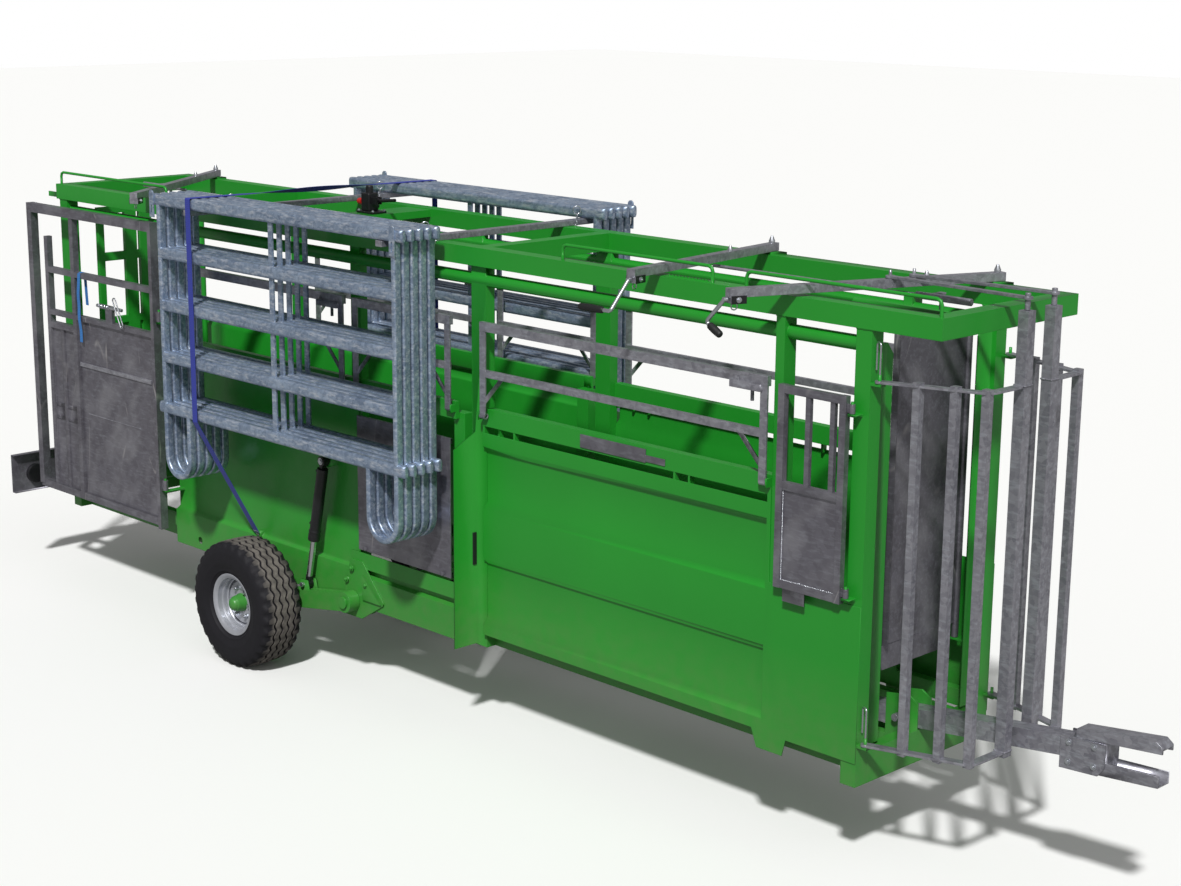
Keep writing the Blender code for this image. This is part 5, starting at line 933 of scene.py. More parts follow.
class RACE_OT_wheels(bpy.types.Operator):
    """Builds the tyres with their ribbed tread, the rims, nuts and hubs"""

    bl_idname = "race.wheels"
    bl_label = "Wheels"

    def tyre(self, side, centre, radius, half, outward):
        depth, swing, waves = sizes().tread_depth, sizes().tread_swing, sizes().tread_waves
        steps_per_wave = 6
        steps = waves * steps_per_wave
        wall = [
            (0.1535, 0.086), (0.160, 0.0965), (0.181, 0.1035), (0.189, 0.112), (0.194, 0.1175),
            (0.199, 0.1165), (0.205, 0.1195), (0.235, 0.1285), (0.239, 0.1298), (0.243, 0.1292),
            (0.270, half), (0.296, half - 0.0015), (0.300, half - 0.0030), (0.318, half - 0.0075),
        ]
        shoulder = [(0.330, half - 0.0120), (0.342, half - 0.019), (0.349, half - 0.030)]
        groove_half = 0.0062
        tread = []
        for y in (0.062, 0.021, -0.021, -0.062):
            tread += [
                (0.0, y + groove_half + 0.001, 1), (depth, y + groove_half - 0.001, 1),
                (depth, y - groove_half + 0.001, 1), (0.0, y - groove_half - 0.001, 1),
            ]
        notch_depths = (0.006, 0.011, 0.010)
        shell = bmesh.new()
        rings = []
        for k in range(steps):
            phase = (k % steps_per_wave) / steps_per_wave
            wave = math.sin(math.tau * phase)
            notch = 1 if k % steps_per_wave < steps_per_wave / 2 else 0
            outline = list(wall)
            for j, (r, y) in enumerate(shoulder):
                outline.append((r - notch * notch_depths[j], y))
            for sink, y, swings in tread:
                crown = radius - 0.0035 * (y / 0.1) ** 2
                outline.append((crown - sink, y + swings * swing * wave))
            for j, (r, y) in reversed(list(enumerate(shoulder))):
                outline.append((r - (1 - notch) * notch_depths[j], -y))
            outline += [(r, -y) for r, y in reversed(wall)]
            outline += [(0.170, -0.070), (0.250, -0.112), (0.326, -0.080)]
            outline += [(0.326, 0.080), (0.250, 0.112), (0.170, 0.070)]
            angle = math.tau * k / steps
            ring = []
            for r, y in outline:
                spot_on_tyre = Vector((r * math.cos(angle), outward * y, r * math.sin(angle)))
                ring.append(shell.verts.new(centre + spot_on_tyre))
            rings.append(ring)
        for k in range(steps):
            first, second = rings[k], rings[(k + 1) % steps]
            for j in range(len(first)):
                after = (j + 1) % len(first)
                shell.faces.new((first[j], first[after], second[after], second[j]))
        shells = Shells()
        shells.add(shell)
        settle(
            shells.thing(f"{side}_tyre_tread"), "tyre", f"{side}_wheel", (f"{side}_tyre",),
            38,
        )

    def execute(self, context):
        for side, outward in SIDES:
            low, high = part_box(f"{side}_tyre")
            centre = (low + high) / 2
            body = f"{side}_wheel"
            self.tyre(side, centre, (high.z - low.z) / 2, (high.y - low.y) / 2, outward)
            axis = Y_AXIS * outward
            rim = Shells()
            barrel = [
                (0.1745, 0.1050), (0.1725, 0.1062), (0.1640, 0.1050), (0.1560, 0.1000),
                (0.1475, 0.0940), (0.1465, 0.0700), (0.1440, 0.0660), (0.1380, 0.0640),
                (0.1360, 0.0600), (0.1350, 0.0400), (0.1300, 0.0340), (0.1290, -0.0400),
                (0.1465, -0.0600), (0.1475, -0.0940), (0.1640, -0.1050), (0.1725, -0.1062),
                (0.1745, -0.1050), (0.1735, -0.1000), (0.1640, -0.0990), (0.1530, -0.0930),
                (0.1520, -0.0650), (0.1345, -0.0440), (0.1345, 0.0320), (0.1400, 0.0380),
                (0.1410, 0.0580), (0.1505, 0.0640), (0.1520, 0.0930), (0.1640, 0.0990),
                (0.1735, 0.1000),
            ]
            rim.lathe(barrel, centre, axis, 72)
            disc = [
                (0.1320, 0.0080), (0.1320, 0.0140), (0.1250, 0.0170), (0.1200, 0.0300),
                (0.1140, 0.0360), (0.0560, 0.0360), (0.0440, 0.0360), (0.0440, 0.0240),
                (0.1100, 0.0240), (0.1150, 0.0180), (0.1200, 0.0060),
            ]
            rim.lathe(disc, centre, axis, 72)
            brake_drum = [(0.024, -0.069), (0.055, -0.069), (0.058, -0.050), (0.054, 0.024), (0.024, 0.024)]
            rim.lathe(brake_drum, centre, axis, 40)
            rim.rod(
                centre + axis * 0.062 + X_AXIS * 0.118, centre + axis * 0.098 + X_AXIS * 0.133, 0.004,
                10, 0.003,
            )
            settle(
                rim.thing(f"{side}_rim_finished"), "wheel", body, (f"{side}_wheel_rim",),
                32,
            )
            hub = Shells()
            cap = [
                (0, 0.030), (0.0500, 0.030), (0.0510, 0.044), (0.0470, 0.050), (0.0430, 0.078),
                (0.0400, 0.086), (0.0360, 0.088), (0.0330, 0.100), (0.0220, 0.1080), (0, 0.1098),
            ]
            hub.lathe(cap, centre, axis, 40)
            settle(hub.thing(f"{side}_hub_cap"), "enamel", body, (), 40)
            nut = Shells()
            stud = Vector((0.0825, 0, 0))
            nut.lathe(drum(0.0150, 0.034, 0.0385), stud, axis, 18)
            head = []
            for k in range(6):
                angle = math.tau * k / 6
                head.append((stud.x + 0.0125 * math.cos(angle), 0.0125 * math.sin(angle)))
            span = sorted((outward * 0.038, outward * 0.051))
            nut.plate([head], "Y", span[0], span[1], 0.001)
            nut.rod(stud + axis * 0.045, stud + axis * 0.0600, 0.0075, 12)
            ring = grown(
                nut.thing(f"{side}_wheel_nuts"), TREES["ring"], Count=6, Centre=centre,
                Material=FINISHES["plated"],
            )
            settle(ring, "plated", body)
        return {"FINISHED"}


class RACE_OT_cylinders(bpy.types.Operator):
    """Builds the lift cylinders with their glands, ports, eyes and pins"""

    bl_idname = "race.cylinders"
    bl_label = "Lift cylinders"

    def execute(self, context):
        for side, sign in SIDES:
            top = Vector(JOINTS[f"{side}_cylinder_tilt"]["pos_m"])
            way = -Vector(JOINTS[f"{side}_rod_slide"]["axis"]).normalized()
            eye = spot(-3.75, sign * 0.523, 0.085)
            barrel = Shells()
            profile = [
                (0, 0.040), (0.016, 0.040), (0.0295, 0.046), (0.0306, 0.052), (0.0306, 0.406),
                (0.0312, 0.409), (0.0338, 0.413), (0.0340, 0.420), (0.0322, 0.424), (0.0322, 0.430),
                (0.0340, 0.434), (0.0340, 0.466), (0.0320, 0.470), (0.0195, 0.470), (0.0192, 0.440),
                (0, 0.440),
            ]
            barrel.lathe(profile, top, way, 32)
            barrel.lathe(eye_ring(0.0138, 0.028, 0.0205), top, Y_AXIS, 28)
            barrel.sweep([top + way * 0.022, top + way * 0.05], rounded_section(0.034, 0.024, 0.004), Y_AXIS)
            across = way.cross(Y_AXIS).normalized()
            for along in (0.075, 0.385):
                base = top + way * along
                barrel.rod(base - across * 0.026, base - across * 0.043, 0.011, 14)
            settle(
                barrel.thing(f"{side}_barrel_finished"), "black", f"{side}_cylinder",
                (f"{side}_cylinder_barrel",), 40,
            )
            rod = Shells()
            rod.rod(top + way * 0.30, eye - way * 0.020, 0.0172, 32)
            settle(
                rod.thing(f"{side}_rod_finished"), "chrome", f"{side}_piston",
                (f"{side}_cylinder_rod",),
            )
            end = Shells()
            end.lathe(eye_ring(0.0095, 0.024, 0.0175), eye, Y_AXIS, 24)
            end.lathe([(0, 0.0), (0.020, 0.0), (0.0185, 0.026), (0, 0.026)], eye - way * 0.046, way, 20)
            settle(end.thing(f"{side}_rod_eye"), "black", f"{side}_piston", ())
            pins = Shells()
            pins.rod(top - Y_AXIS * sign * 0.02, top + Y_AXIS * sign * 0.0305, 0.0117, 16, 0.002)
            pins.lathe(drum(0.019, 0.0215, 0.0245), top, Y_AXIS * sign, 20)
            split_pin = top + Y_AXIS * sign * 0.0275
            pins.rod(split_pin + X_AXIS * 0.017, split_pin - X_AXIS * 0.017, 0.002, 8)
            settle(pins.thing(f"{side}_cylinder_top_pin"), "plated", ROOT)
            lower = Shells()
            for outer in (-0.0445, 0.0465):
                lower.lathe(drum(0.0135, -0.005, 0.005), eye + Y_AXIS * outer * sign, Y_AXIS, 18)
            lower.rod(eye - Y_AXIS * 0.044, eye + Y_AXIS * 0.044, 0.0088, 14)
            settle(lower.thing(f"{side}_cylinder_lower_pin"), "plated", f"{side}_swing_arm")
        return {"FINISHED"}


class RACE_OT_handles(bpy.types.Operator):
    """Builds the bent cranks with their grips and the latch cheeks of the levers"""

    bl_idname = "race.handles"
    bl_label = "Lever handles"

    shapes = (
        ("yoke", Vector((-0.08, -0.02, -0.10)), Vector((0.08, 0.0, -0.045))),
        ("door", Vector((-0.02, -0.09, -0.13)), Vector((-0.19, 0.0, 0.0))),
    )

    def execute(self, context):
        for name, crank, grip in self.shapes:
            joint = JOINTS[f"{name}_handle_swing"]
            origin = Vector(joint["pos_m"])
            way = Vector(joint["axis"]).normalized()
            elbow = origin + way * 0.014
            bottom = elbow + crank
            tip = bottom + grip
            metal = Shells()
            metal.rod(origin, origin + way * 0.022, 0.011, 16, 0.002)
            path = bent([elbow, bottom, bottom + grip * 0.3], 0.014, 5)
            metal.sweep(path, round_section(0.0092, 14))
            settle(
                metal.thing(f"{name}_crank"), "plated", f"{name}_handle", (f"{name}_lever_handle",),
            )
            sleeve = Shells()
            start = bottom.lerp(tip, 0.2)
            end = tip + grip.normalized() * 0.004
            count = 21
            shares = [0.5 - 0.5 * math.cos(math.pi * k / (count - 1)) for k in range(count)]
            path = [start.lerp(end, share) for share in shares]
            scales = []
            for share in shares:
                wide = (0.90 + 0.14 * math.sin(math.pi * share)) * (1 - 0.5 * abs(2 * share - 1) ** 16)
                scales.append((wide, wide))
            sleeve.sweep(path, round_section(0.0165, 20), None, scales)
            settle(sleeve.thing(f"{name}_grip"), "grip", f"{name}_handle", ())
        for name in ("yoke", "door", "rear"):
            self.latch(name)
        return {"FINISHED"}

    def latch(self, name):
        """Black cheeks and a bolt on both faces of a lever's latch box."""
        pivots = {
            "yoke": ((-0.05, 0.455), (-0.52, -0.77)), "door": ((-1.33, 0.45), (-1.165, -0.68)),
            "rear": ((-5.93, 0.45), (-5.13, -0.66)),
        }
        pivot, end = (spot(x, y, 2.0635) for x, y in pivots[name])
        way = (end - pivot).normalized()
        across = way.cross(Z_AXIS)
        cheeks = Shells()
        bolts = []
        for sign in (-1, 1):
            face = across * sign * 0.0262
            start = end - way * 0.074 + face
            cheeks.sweep([start, end - way * 0.004 + face], rounded_section(0.0028, 0.034, 0.001, 2), across)
            bolts.append((end - way * 0.038 + across * sign * 0.0276, across * sign, 0.017))
        settle(cheeks.thing(f"{name}_latch_cheeks"), "black", f"{name}_lever_arm", ())
        bright = Shells()
        wire_ring(bright, end - way * 0.030 - Z_AXIS * 0.030, 0.0145, 0.0028, across)
        foot = pivot + way * 0.36
        foot.z = spot(0, 0, 2.1095).z
        bright.lathe([(0, 0), (0.0125, 0), (0.0125, 0.008), (0.004, 0.026), (0, 0.027)], foot, Z_AXIS, 18)
        settle(bright.thing(f"{name}_lever_tips"), "plated", f"{name}_lever_arm")
        nut = Shells()
        foot = Vector((pivot.x, pivot.y, spot(0, 0, 2.1115).z))
        nut.lathe([(0, 0), (0.0150, 0), (0.0150, 0.0104), (0.0050, 0.0330), (0, 0.0335)], foot, Z_AXIS, 20)
        settle(nut.thing(f"{name}_pivot_nut"), "plated", ROOT)
        shape = hex_bolt()
        fixings(f"{name}_latch_bolts", shape, bolts, "plated", f"{name}_lever_arm")
        drop(shape)


def ribbon(name, path, width, thickness, across, finish, body, nodes=()):
    """A strip of webbing along a path, with round edges and a map of metres along and across it."""
    path = [Vector(point) for point in path]
    section = rounded_section(width, thickness, thickness * 0.45, 2)
    shells = Shells()
    shells.sweep(path, section, across)
    strip = shells.thing(name)
    lengths = [0.0]
    for before, after in zip(path, path[1:]):
        lengths.append(lengths[-1] + (after - before).length)
    layer = strip.data.uv_layers.new(name="strip")
    sides = across if isinstance(across, list) else [Vector(across).normalized()] * len(path)
    count = len(section)
    for loop in strip.data.loops:
        ring = loop.vertex_index // count
        point = strip.data.vertices[loop.vertex_index].co
        layer.data[loop.index].uv = (lengths[ring], (point - path[ring]).dot(sides[ring]))
    return settle(strip, finish, body, nodes)


class RACE_OT_strap(bpy.types.Operator):
    """Builds the lashing strap, its lower stretches, hooks and the loose end over the rear gate"""

    bl_idname = "race.strap"
    bl_label = "Lashing strap"

    free_reach = 0.5
    twist = math.radians(38)

    def execute(self, context):
        low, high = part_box("strap")
        half = 0.0015
        near_x, far_x = spot(-4.35, 0, 0).x, spot(-4.24, 0, 0).x
        edge = high.y - half
        top = high.z - half
        drop_z = low.z
        corners = [(near_x, -edge, drop_z), (near_x, -edge, top), (far_x, edge, top), (far_x, edge, drop_z)]
        run = Vector((far_x - near_x, 2 * edge, 0)).normalized()
        across = run.cross(Z_AXIS)
        rounded = bent(corners, 0.008, 4)
        over = [rounded[5].lerp(rounded[6], k / 24) for k in range(1, 24)]
        path = rounded[:6] + over + rounded[6:]
        sides = []
        for k, point in enumerate(path):
            # Between the stacks the webbing hangs free and slowly turns on edge and back.
            share = max(0.0, 1 - abs(point.y) / self.free_reach)
            turn = self.twist * share * share * (3 - 2 * share) if 5 < k < len(path) - 6 else 0.0
            sides.append(across * math.cos(turn) + Z_AXIS * math.sin(turn))
        ribbon("lashing_strap", path, 0.05, 2 * half, sides, "webbing", ROOT, ("strap",))
        for side, sign in SIDES:
            start = Vector((near_x if sign < 0 else far_x, sign * edge, drop_z))
            hook = spot(-4.26, sign * 0.494, 0.262)
            direction = (hook - start).normalized()
            across = X_AXIS - direction * direction.x
            path = [start.lerp(hook, k / 12) for k in range(13)]
            tail = ribbon(
                f"{side}_strap_fall", path, 0.05, 0.003, across, "webbing", ROOT,
                (f"{side}_strap_tail",),
            )
            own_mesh(tail)
            self.wall_hook(side, hook, direction)
        self.loose_end()
        return {"FINISHED"}

    def wall_hook(self, side, hook, direction):
        """A bent wire hook between the webbing's eye and the ring on the wall."""
        shells = Shells()
        wide = 0.022
        eye = hook - direction * 0.012
        bow = [eye - X_AXIS * wide, eye + X_AXIS * wide, hook + direction * 0.028, eye - X_AXIS * wide]
        shells.sweep(bent(bow[:3], 0.004, 3) + [eye - X_AXIS * wide * 0.6], round_section(0.0032, 8))
        settle(shells.thing(f"{side}_strap_hook"), "plated", ROOT)

    def loose_end(self):
        """The spare webbing hung over the rear gate's upper bar."""
        x = spot(-5.878, 0, 0).x
        bar_y = spot(0, -0.57, 0).y
        bar_top = spot(0, 0, 1.565).z
        out = 0.0205
        path = []
        for y, z in ((out + 0.006, -0.20), (out + 0.003, -0.13), (out, -0.05)):
            path.append((x + 0.004, bar_y + y, bar_top + z))
        for k in range(7):
            angle = math.pi * k / 6
            path.append((x, bar_y + out * math.cos(angle), bar_top - 0.008 + 0.0105 * math.sin(angle)))
        for k in range(1, 12):
            z = -0.05 - 0.37 * k / 11
            sway = 0.004 * math.sin(k * 0.7) ** 2
            path.append((x - 0.010 * math.sin(k * 0.35), bar_y - out - 0.0025 - sway, bar_top + z))
        ribbon(
            "loose_strap_end", path, 0.030, 0.0024, X_AXIS, "spare_webbing", "rear_gate_leaf", (),
        )


class RACE_OT_pump(bpy.types.Operator):
    """Builds the hand pump and its lever socket"""

    bl_idname = "race.pump"
    bl_label = "Hand pump"

    def execute(self, context):
        low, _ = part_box("pump_body")
        x, y, z = spot(-3.88, 0, 0).x, 0.06, low.z
        body = Shells()
        body.box((x - 0.07, x + 0.07), (y - 0.05, y + 0.05), (z, z + 0.012), 0.003)
        body.box((x - 0.05, x + 0.02), (y - 0.035, y + 0.035), (z + 0.01, z + 0.11), 0.008)
        body.lathe(
            [(0, 0.100), (0.022, 0.100), (0.022, 0.138), (0.018, 0.148), (0, 0.149)], (x - 0.015, y, z),
            Z_AXIS, 24,
        )
        for sign in (-1, 1):
            middle = y + 0.014 * sign
            body.box((x + 0.01, x + 0.07), (middle - 0.004, middle + 0.004), (z + 0.05, z + 0.09), 0.0015)
        body.rod((x + 0.055, y - 0.0175, z + 0.07), (x + 0.055, y + 0.0175, z + 0.07), 0.005, 12)
        body.lathe(drum(0.013, 0.0, 0.020), (x - 0.005, y + 0.03, z + 0.035), Y_AXIS, 16)
        settle(body.thing("pump_finished"), "black", ROOT, ("pump_body",))
        cap = Shells()
        cap.lathe(
            [(0, 0.0), (0.0178, 0.0), (0.0185, 0.006), (0.0185, 0.026), (0.016, 0.034), (0, 0.035)],
            (x - 0.05, y - 0.02, z + 0.06), -X_AXIS, 24,
        )
        settle(cap.thing("pump_cap"), "red", ROOT)
        bolts = [((x + dx, y + dy, z + 0.012), Z_AXIS, 0.016) for dx in (-0.06, 0.06) for dy in (-0.04, 0.04)]
        shape = hex_bolt()
        fixings("pump_bolts", shape, bolts, "plated", ROOT)
        drop(shape)
        lever = Shells()
        lever.lathe(
            [(0.0064, -0.008), (0.014, -0.008), (0.014, 0.008), (0.0064, 0.008)],
            (x + 0.055, y, z + 0.07), Y_AXIS, 24,
        )
        start, end = Vector((x + 0.066, y, z + 0.07)), Vector((x + 0.205, y, z + 0.085))
        way = (end - start).normalized()
        length = (end - start).length
        tube = [
            (0, 0), (0.0092, 0), (0.0092, length - 0.001), (0.0084, length), (0.0062, length),
            (0.0062, length - 0.05), (0, length - 0.05),
        ]
        lever.lathe(tube, start, way, 20)
        settle(lever.thing("pump_lever_finished"), "black", "pump_socket", ("pump_lever",))
        return {"FINISHED"}


class RACE_OT_fittings(bpy.types.Operator):
    """Adds clips, catch plates, spring bolt, lamps, pin handles, bolts, a black plate of painted shade in a
    post's slot and gate trim
    """

    bl_idname = "race.fittings"
    bl_label = "Small fittings"

    def execute(self, context):
        self.clips()
        self.catches()
        self.spring_bolt()
        self.lamps()
        self.pin_handles()
        self.gate_trim()
        # A black plate painted as the shade inside a slot of the near middle post.
        self.painted_slot_shade()
        self.bolts()
        return {"FINISHED"}

    def clips(self):
        """Linch pins with rings on the carriers' ends."""
        wire = sizes().clip_wire
        for name in ("front_carrier", "rear_carrier"):
            low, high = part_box(name)
            x = (low.x + high.x) / 2
            shells = Shells()
            for _, sign in SIDES:
                y = sign * 0.52
                head = Vector((x, y, low.z + 0.058))
                shells.rod((x, y, low.z + 0.022), head, 0.0058, 12, 0.002)
                wire_ring(shells, head + Vector((0, 0, 0.0185)), 0.0205, wire, (0.8, -0.6, 0))
                links = [
                    head + Vector((0.009 * k, -sign * 0.010 * k, 0.004 - 0.0155 * k)) for k in range(1, 5)
                ]
                for k, link in enumerate(links):
                    wire_ring(shells, link, 0.0072, 0.0021, (1, 0.3, 0) if k % 2 else (0.3, 1, 0), 1.5)
            settle(shells.thing(name + "_clips"), "plated", ROOT)

    def catches(self):
        """Galvanised catch plates on the waist rails."""
        for side, sign in SIDES:
            face = 0.4795
            shells = Shells()
            plate = [
                spot(x, 0, z)
                for x, z in ((-1.672, 1.1995), (-1.248, 1.1995), (-1.248, 1.2625), (-1.672, 1.2625))
            ]
            shells.plate([[(p.x, p.z) for p in plate]], "Y", *sorted((sign * face, sign * (face + 0.0062))))
            small = [
                spot(x, 0, z)
                for x, z in ((-1.30, 1.2045), (-1.128, 1.2045), (-1.128, 1.2355), (-1.30, 1.2355))
            ]
            shells.plate([[(p.x, p.z) for p in small]], "Y", *sorted((sign * face, sign * (face + 0.0050))))
            settle(shells.thing(f"{side}_catch_plate"), "zinc_sheet", ROOT, ())

    def spring_bolt(self):
        """The bolt of the rear gate with its spring and pull ring."""
        y = -0.582
        shells = Shells()
        start, end = spot(-5.70, y, 1.39), spot(-5.43, y, 1.39)
        shells.rod(start, end, 0.0104, 16, 0.003)
        turns, steps = 9, 12
        coil = []
        for k in range(turns * steps + 1):
            angle = math.tau * k / steps
            along = start.lerp(end, 0.12 + 0.42 * k / (turns * steps))
            coil.append(along + Vector((0, 0.0128 * math.cos(angle), 0.0128 * math.sin(angle))))
        shells.sweep(coil, round_section(0.0019, 6))
        pull = []
        top, bottom = spot(-5.475, y - 0.022, 1.445), spot(-5.405, y - 0.022, 1.305)
        along, wide = (top - bottom).normalized(), (top - bottom).cross(Y_AXIS).normalized()
        for centre, turn in ((top, 0), (bottom, math.pi)):
            for k in range(9):
                angle = turn + math.pi * k / 8
                pull.append(centre + (wide * math.cos(angle) + along * math.sin(angle)) * 0.015)
        shells.sweep(pull, round_section(0.0042, 8), None, None, True)
        settle(shells.thing("gate_spring_bolt"), "plated", "rear_gate_leaf")

    def lamps(self):
        """Round rear lamps: a red lens in a black housing at each end of the light board."""
        low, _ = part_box("light_board")
        lenses, housings = Shells(), Shells()
        for _, sign in SIDES:
            centre = Vector((low.x, sign * 0.54, spot(0, 0, 0.19).z))
            back = [(0, 0.002), (0.0605, 0.002), (0.0605, 0.031), (0.056, 0.034), (0, 0.034)]
            housings.lathe(back, centre, X_AXIS, 40)
            front = [(0, -0.001), (0.040, -0.001), (0.052, 0.001), (0.058, 0.005), (0, 0.005)]
            lenses.lathe(front, centre, X_AXIS, 40)
        settle(housings.thing("lamp_housings"), "black", ROOT, ())
        settle(lenses.thing("lamp_lenses"), "lens", ROOT)

    def pin_handles(self):
        """Bent rods that lift the hinge pins of the yoke's near wing."""
        shells = Shells()
        for z in (1.80, 0.24):
            foot = spot(0.035, -0.46, z - 0.015)
            path = [
                foot, foot + Vector((0, 0, 0.135)), foot + Vector((-0.028, 0.012, 0.135)),
                foot + Vector((-0.028, 0.012, 0.02)),
            ]
            shells.sweep(bent(path, 0.011, 4), round_section(0.0042, 10))
        settle(shells.thing("yoke_pin_handles"), "plated", ROOT)

    def gate_trim(self):
        """The flat bar across the rear gate's sheet and the fold below it."""
        face = -0.5725
        shells = Shells()
        for (rear, front), (low, high), proud in (
            ((-5.93, -5.15), (0.988, 1.013), 0.008), ((-5.86, -5.29), (0.697, 0.703), 0.003),
        ):
            start, end = spot(rear, face - proud, low), spot(front, face, high)
            shells.box((start.x, end.x), (start.y, end.y), (start.z, end.z), 0.001)
        settle(shells.thing("gate_sheet_trim"), "zinc", "rear_gate_leaf", ())

    def painted_slot_shade(self):
        """A black plate on the near middle post: painted shade standing for the dark slot in the post's face.
        """
        # Painted shade: a thin black box in the grip rubber finish stands for the shadow inside the slot.
        start, end = spot(-2.4388, -0.482, 0.463), spot(-2.4320, -0.458, 0.629)
        shells = Shells()
        shells.box((start.x, end.x), (start.y, end.y), (start.z, end.z), 0.002)
        settle(shells.thing("middle_post_stop"), "grip", ROOT)

    def bolts(self):
        """Hexagon bolts on the arm brackets and the drawbar joint."""
        frame_places, drawbar_places = [], []
        for _, sign in SIDES:
            for dx, z in ((-0.045, 0.17), (0.0, 0.24), (0.12, 0.17)):
                frame_places.append((spot(-3.40 + dx, sign * 0.4985, z), Y_AXIS * sign, 0.024))
            for x, z in ((0.76, 0.225), (0.76, 0.31), (0.88, 0.235), (0.88, 0.32)):
                drawbar_places.append((spot(x, sign * 0.0502, z), Y_AXIS * sign, 0.020))
        shape = hex_bolt()
        fixings("bracket_bolts", shape, frame_places, "enamel", ROOT)
        fixings("drawbar_bolts", shape, drawbar_places, "plated", ROOT)
        drop(shape)


class RACE_OT_welds(bpy.types.Operator):
    """Runs weld beads round the posts' feet, under the rails and on the wings and the vet door"""

    bl_idname = "race.welds"
    bl_label = "Weld beads"

    def execute(self, context):
        posts = (
            (-0.08, 0.0), (-0.505, -0.457), (-2.466, -2.36), (-3.43, -3.35), (-5.09, -5.01),
            (-6.25, -6.17),
        )
        corner_face, inner_face = 0.4757, 0.4457
        loops = []
        for sign in (-1, 1):
            for rear, front in posts:
                outer = corner_face if rear > -1 or rear < -6 else inner_face
                corners = ((rear, 0.40), (front, 0.40), (front, outer), (rear, outer))
                loops.append([tuple(spot(x, sign * y, 1.9685)) for x, y in corners])
                if rear > -1 or rear < -6:
                    continue
                loops.append([tuple(spot(x, sign * y, 0.2015)) for x, y in corners])
        welded("frame_welds", loops, "enamel", ROOT)
        wings = []
        for _, sign in SIDES:
            for z in (1.765, 0.205):
                x, y = 0.475, sign * 0.095
                wings.append(
                    [
                        tuple(spot(x + dx, y + dy, z))
                        for dx, dy in ((-0.026, -0.026), (0.026, -0.026), (0.026, 0.026), (-0.026, 0.026))
                    ]
                )
        for (side, _), half in zip(SIDES, (wings[:2], wings[2:])):
            welded(f"{side}_wing_welds", half, "zinc", f"{side}_wing", 3)
        window = ((-0.4125, 0.8395), (-0.1175, 0.8395), (-0.1175, 1.2385), (-0.4125, 1.2385))
        welded(
            "vet_door_welds", [[tuple(spot(x, -0.5105, z)) for x, z in window]], "plated",
            "vet_door_leaf", 3,
        )
        return {"FINISHED"}


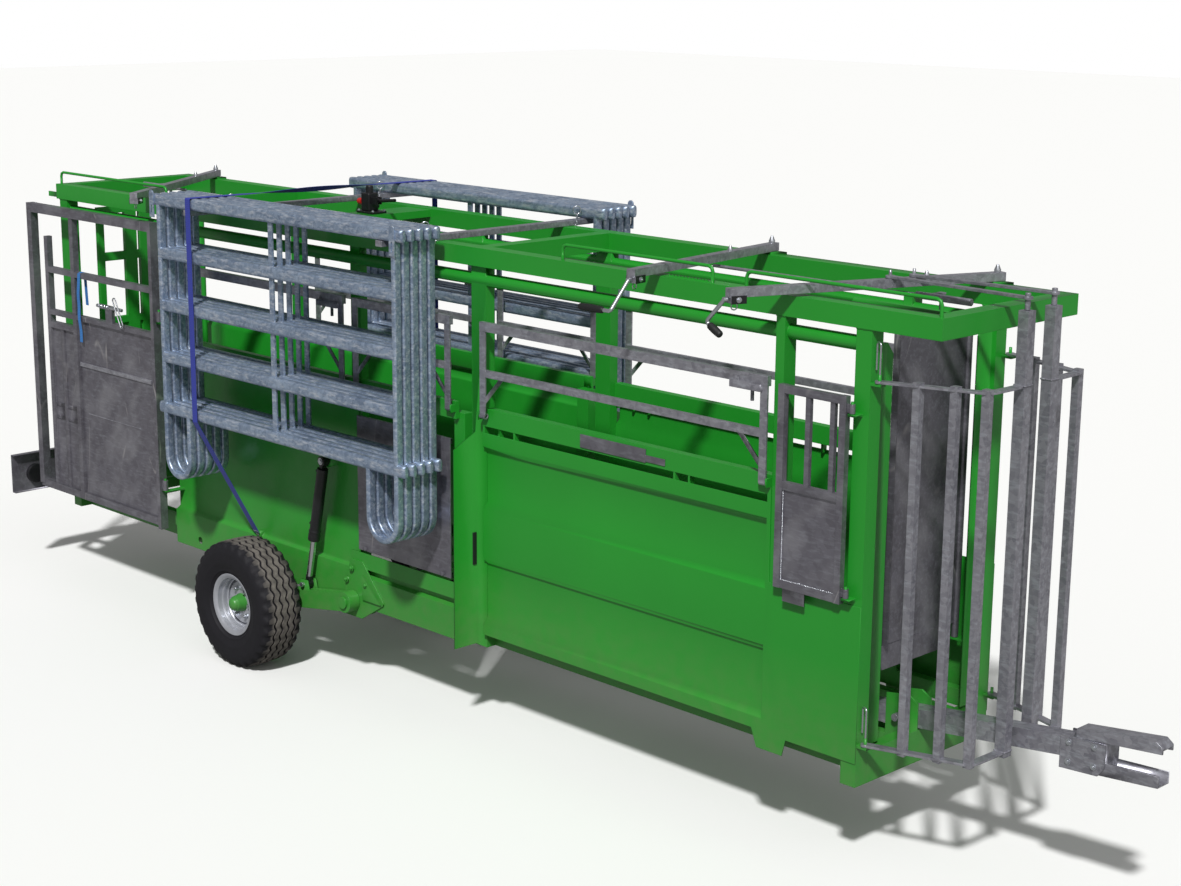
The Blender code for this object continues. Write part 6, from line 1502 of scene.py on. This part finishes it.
class RACE_OT_stage(bpy.types.Operator):
    """Sets the floor, the light, the world and the camera"""

    bl_idname = "race.stage"
    bl_label = "Stage"

    position = (7.7906, -7.0727, 3.8140)
    yaw, pitch, roll = -45.3661, 13.0465, 0.46993
    lens = 63.21

    def execute(self, context):
        self.camera()
        self.floor()
        self.light()
        self.world()
        return {"FINISHED"}

    def camera(self):
        yaw, pitch, roll = (math.radians(value) for value in (self.yaw, self.pitch, self.roll))
        forward = Vector((math.sin(yaw) * math.cos(pitch), math.cos(yaw) * math.cos(pitch), -math.sin(pitch)))
        level = Vector((math.cos(yaw), -math.sin(yaw), 0))
        upright = level.cross(forward)
        right = level * math.cos(roll) + upright * math.sin(roll)
        up = upright * math.cos(roll) - level * math.sin(roll)
        data = bpy.data.cameras.new("camera")
        data.lens = self.lens
        data.sensor_width = 36
        data.clip_end = 200
        camera = linked("camera", data)
        turn = Matrix((right, up, -forward)).transposed().to_4x4()
        camera.matrix_world = Matrix.Translation(self.position) @ turn
        bpy.context.scene.camera = camera

    def floor(self):
        """A pale floor that shows white to the camera and keeps the shadow."""
        data = bpy.data.meshes.new("floor")
        reach = 60.0
        data.from_pydata(
            [(-reach, -reach, 0), (reach, -reach, 0), (reach, reach, 0), (-reach, reach, 0)], [],
            [(0, 1, 2, 3)],
        )
        floor = linked("floor", data)
        material, tree, shader, _ = new_finish(
            "matt studio floor", {"Roughness": 0.9, "Specular IOR Level": 0.0},
        )
        # The camera sees the pale floor; the light that it throws back up is that of trodden ground.
        rays = node_in(tree, "ShaderNodeLightPath")
        seen = mixed(tree, rays.outputs["Is Camera Ray"], linear("#9A9A98"), tuple(colours().floor))
        tree.links.new(seen, shader.inputs["Base Color"])
        data.materials.append(material)

    def light(self):
        """A key from the near side, the front and above, and a weak fill from the front."""
        for name, rotation, strength, angle in (
            ("key", (math.radians(43), 0, math.radians(37)), 3.3, 4),
            ("fill", (math.radians(60), 0, math.radians(80)), 0.35, 60),
        ):
            lamp = bpy.data.lights.new(name, "SUN")
            lamp.energy = strength
            lamp.angle = math.radians(angle)
            linked(name, lamp).rotation_euler = rotation

    def world(self):
        """White to the camera and glass; a soft even level to everything else, gloss too."""
        world = bpy.data.worlds.new("studio")
        bpy.context.scene.world = world
        world.use_nodes = True
        tree = world.node_tree
        rays = node_in(tree, "ShaderNodeLightPath")
        seen = maths(tree, "MAXIMUM", rays.outputs["Is Camera Ray"], rays.outputs["Is Transmission Ray"])
        level = ranged(tree, seen, (0, 1), (0.23, 1))
        back = tree.nodes["Background"]
        back.inputs["Color"].default_value = (1, 1, 1, 1)
        tree.links.new(level, back.inputs["Strength"])
        bpy.context.scene.view_settings.view_transform = "Standard"


STEPS = (
    RACE_OT_finishes, RACE_OT_frame, RACE_OT_zinc, RACE_OT_hurdles, RACE_OT_wheels, RACE_OT_cylinders,
    RACE_OT_handles, RACE_OT_strap, RACE_OT_pump, RACE_OT_fittings, RACE_OT_welds, RACE_OT_stage,
)


class RACE_PT_panel(bpy.types.Panel):
    """Lists the steps and the settings"""

    bl_idname = "RACE_PT_panel"
    bl_label = "Cattle race"
    bl_space_type = "VIEW_3D"
    bl_region_type = "UI"
    bl_category = "Race"

    def draw(self, context):
        for step in STEPS:
            self.layout.operator(step.bl_idname)
        for group in (context.scene.race_colours, context.scene.race_sizes):
            for name in group.bl_rna.properties.keys():
                if name not in ("rna_type", "name"):
                    self.layout.prop(group, name)


CLASSES = (RaceColours, RaceSizes, *STEPS, RACE_PT_panel)


def register():
    for item in CLASSES:
        bpy.utils.register_class(item)
    bpy.types.Scene.race_colours = PointerProperty(type=RaceColours)
    bpy.types.Scene.race_sizes = PointerProperty(type=RaceSizes)


def unregister():
    del bpy.types.Scene.race_sizes
    del bpy.types.Scene.race_colours
    for item in reversed(CLASSES):
        bpy.utils.unregister_class(item)


def main():
    register()
    for step in STEPS:
        getattr(bpy.ops.race, step.bl_idname.split(".")[1])()


if __name__ == "__main__":
    main()
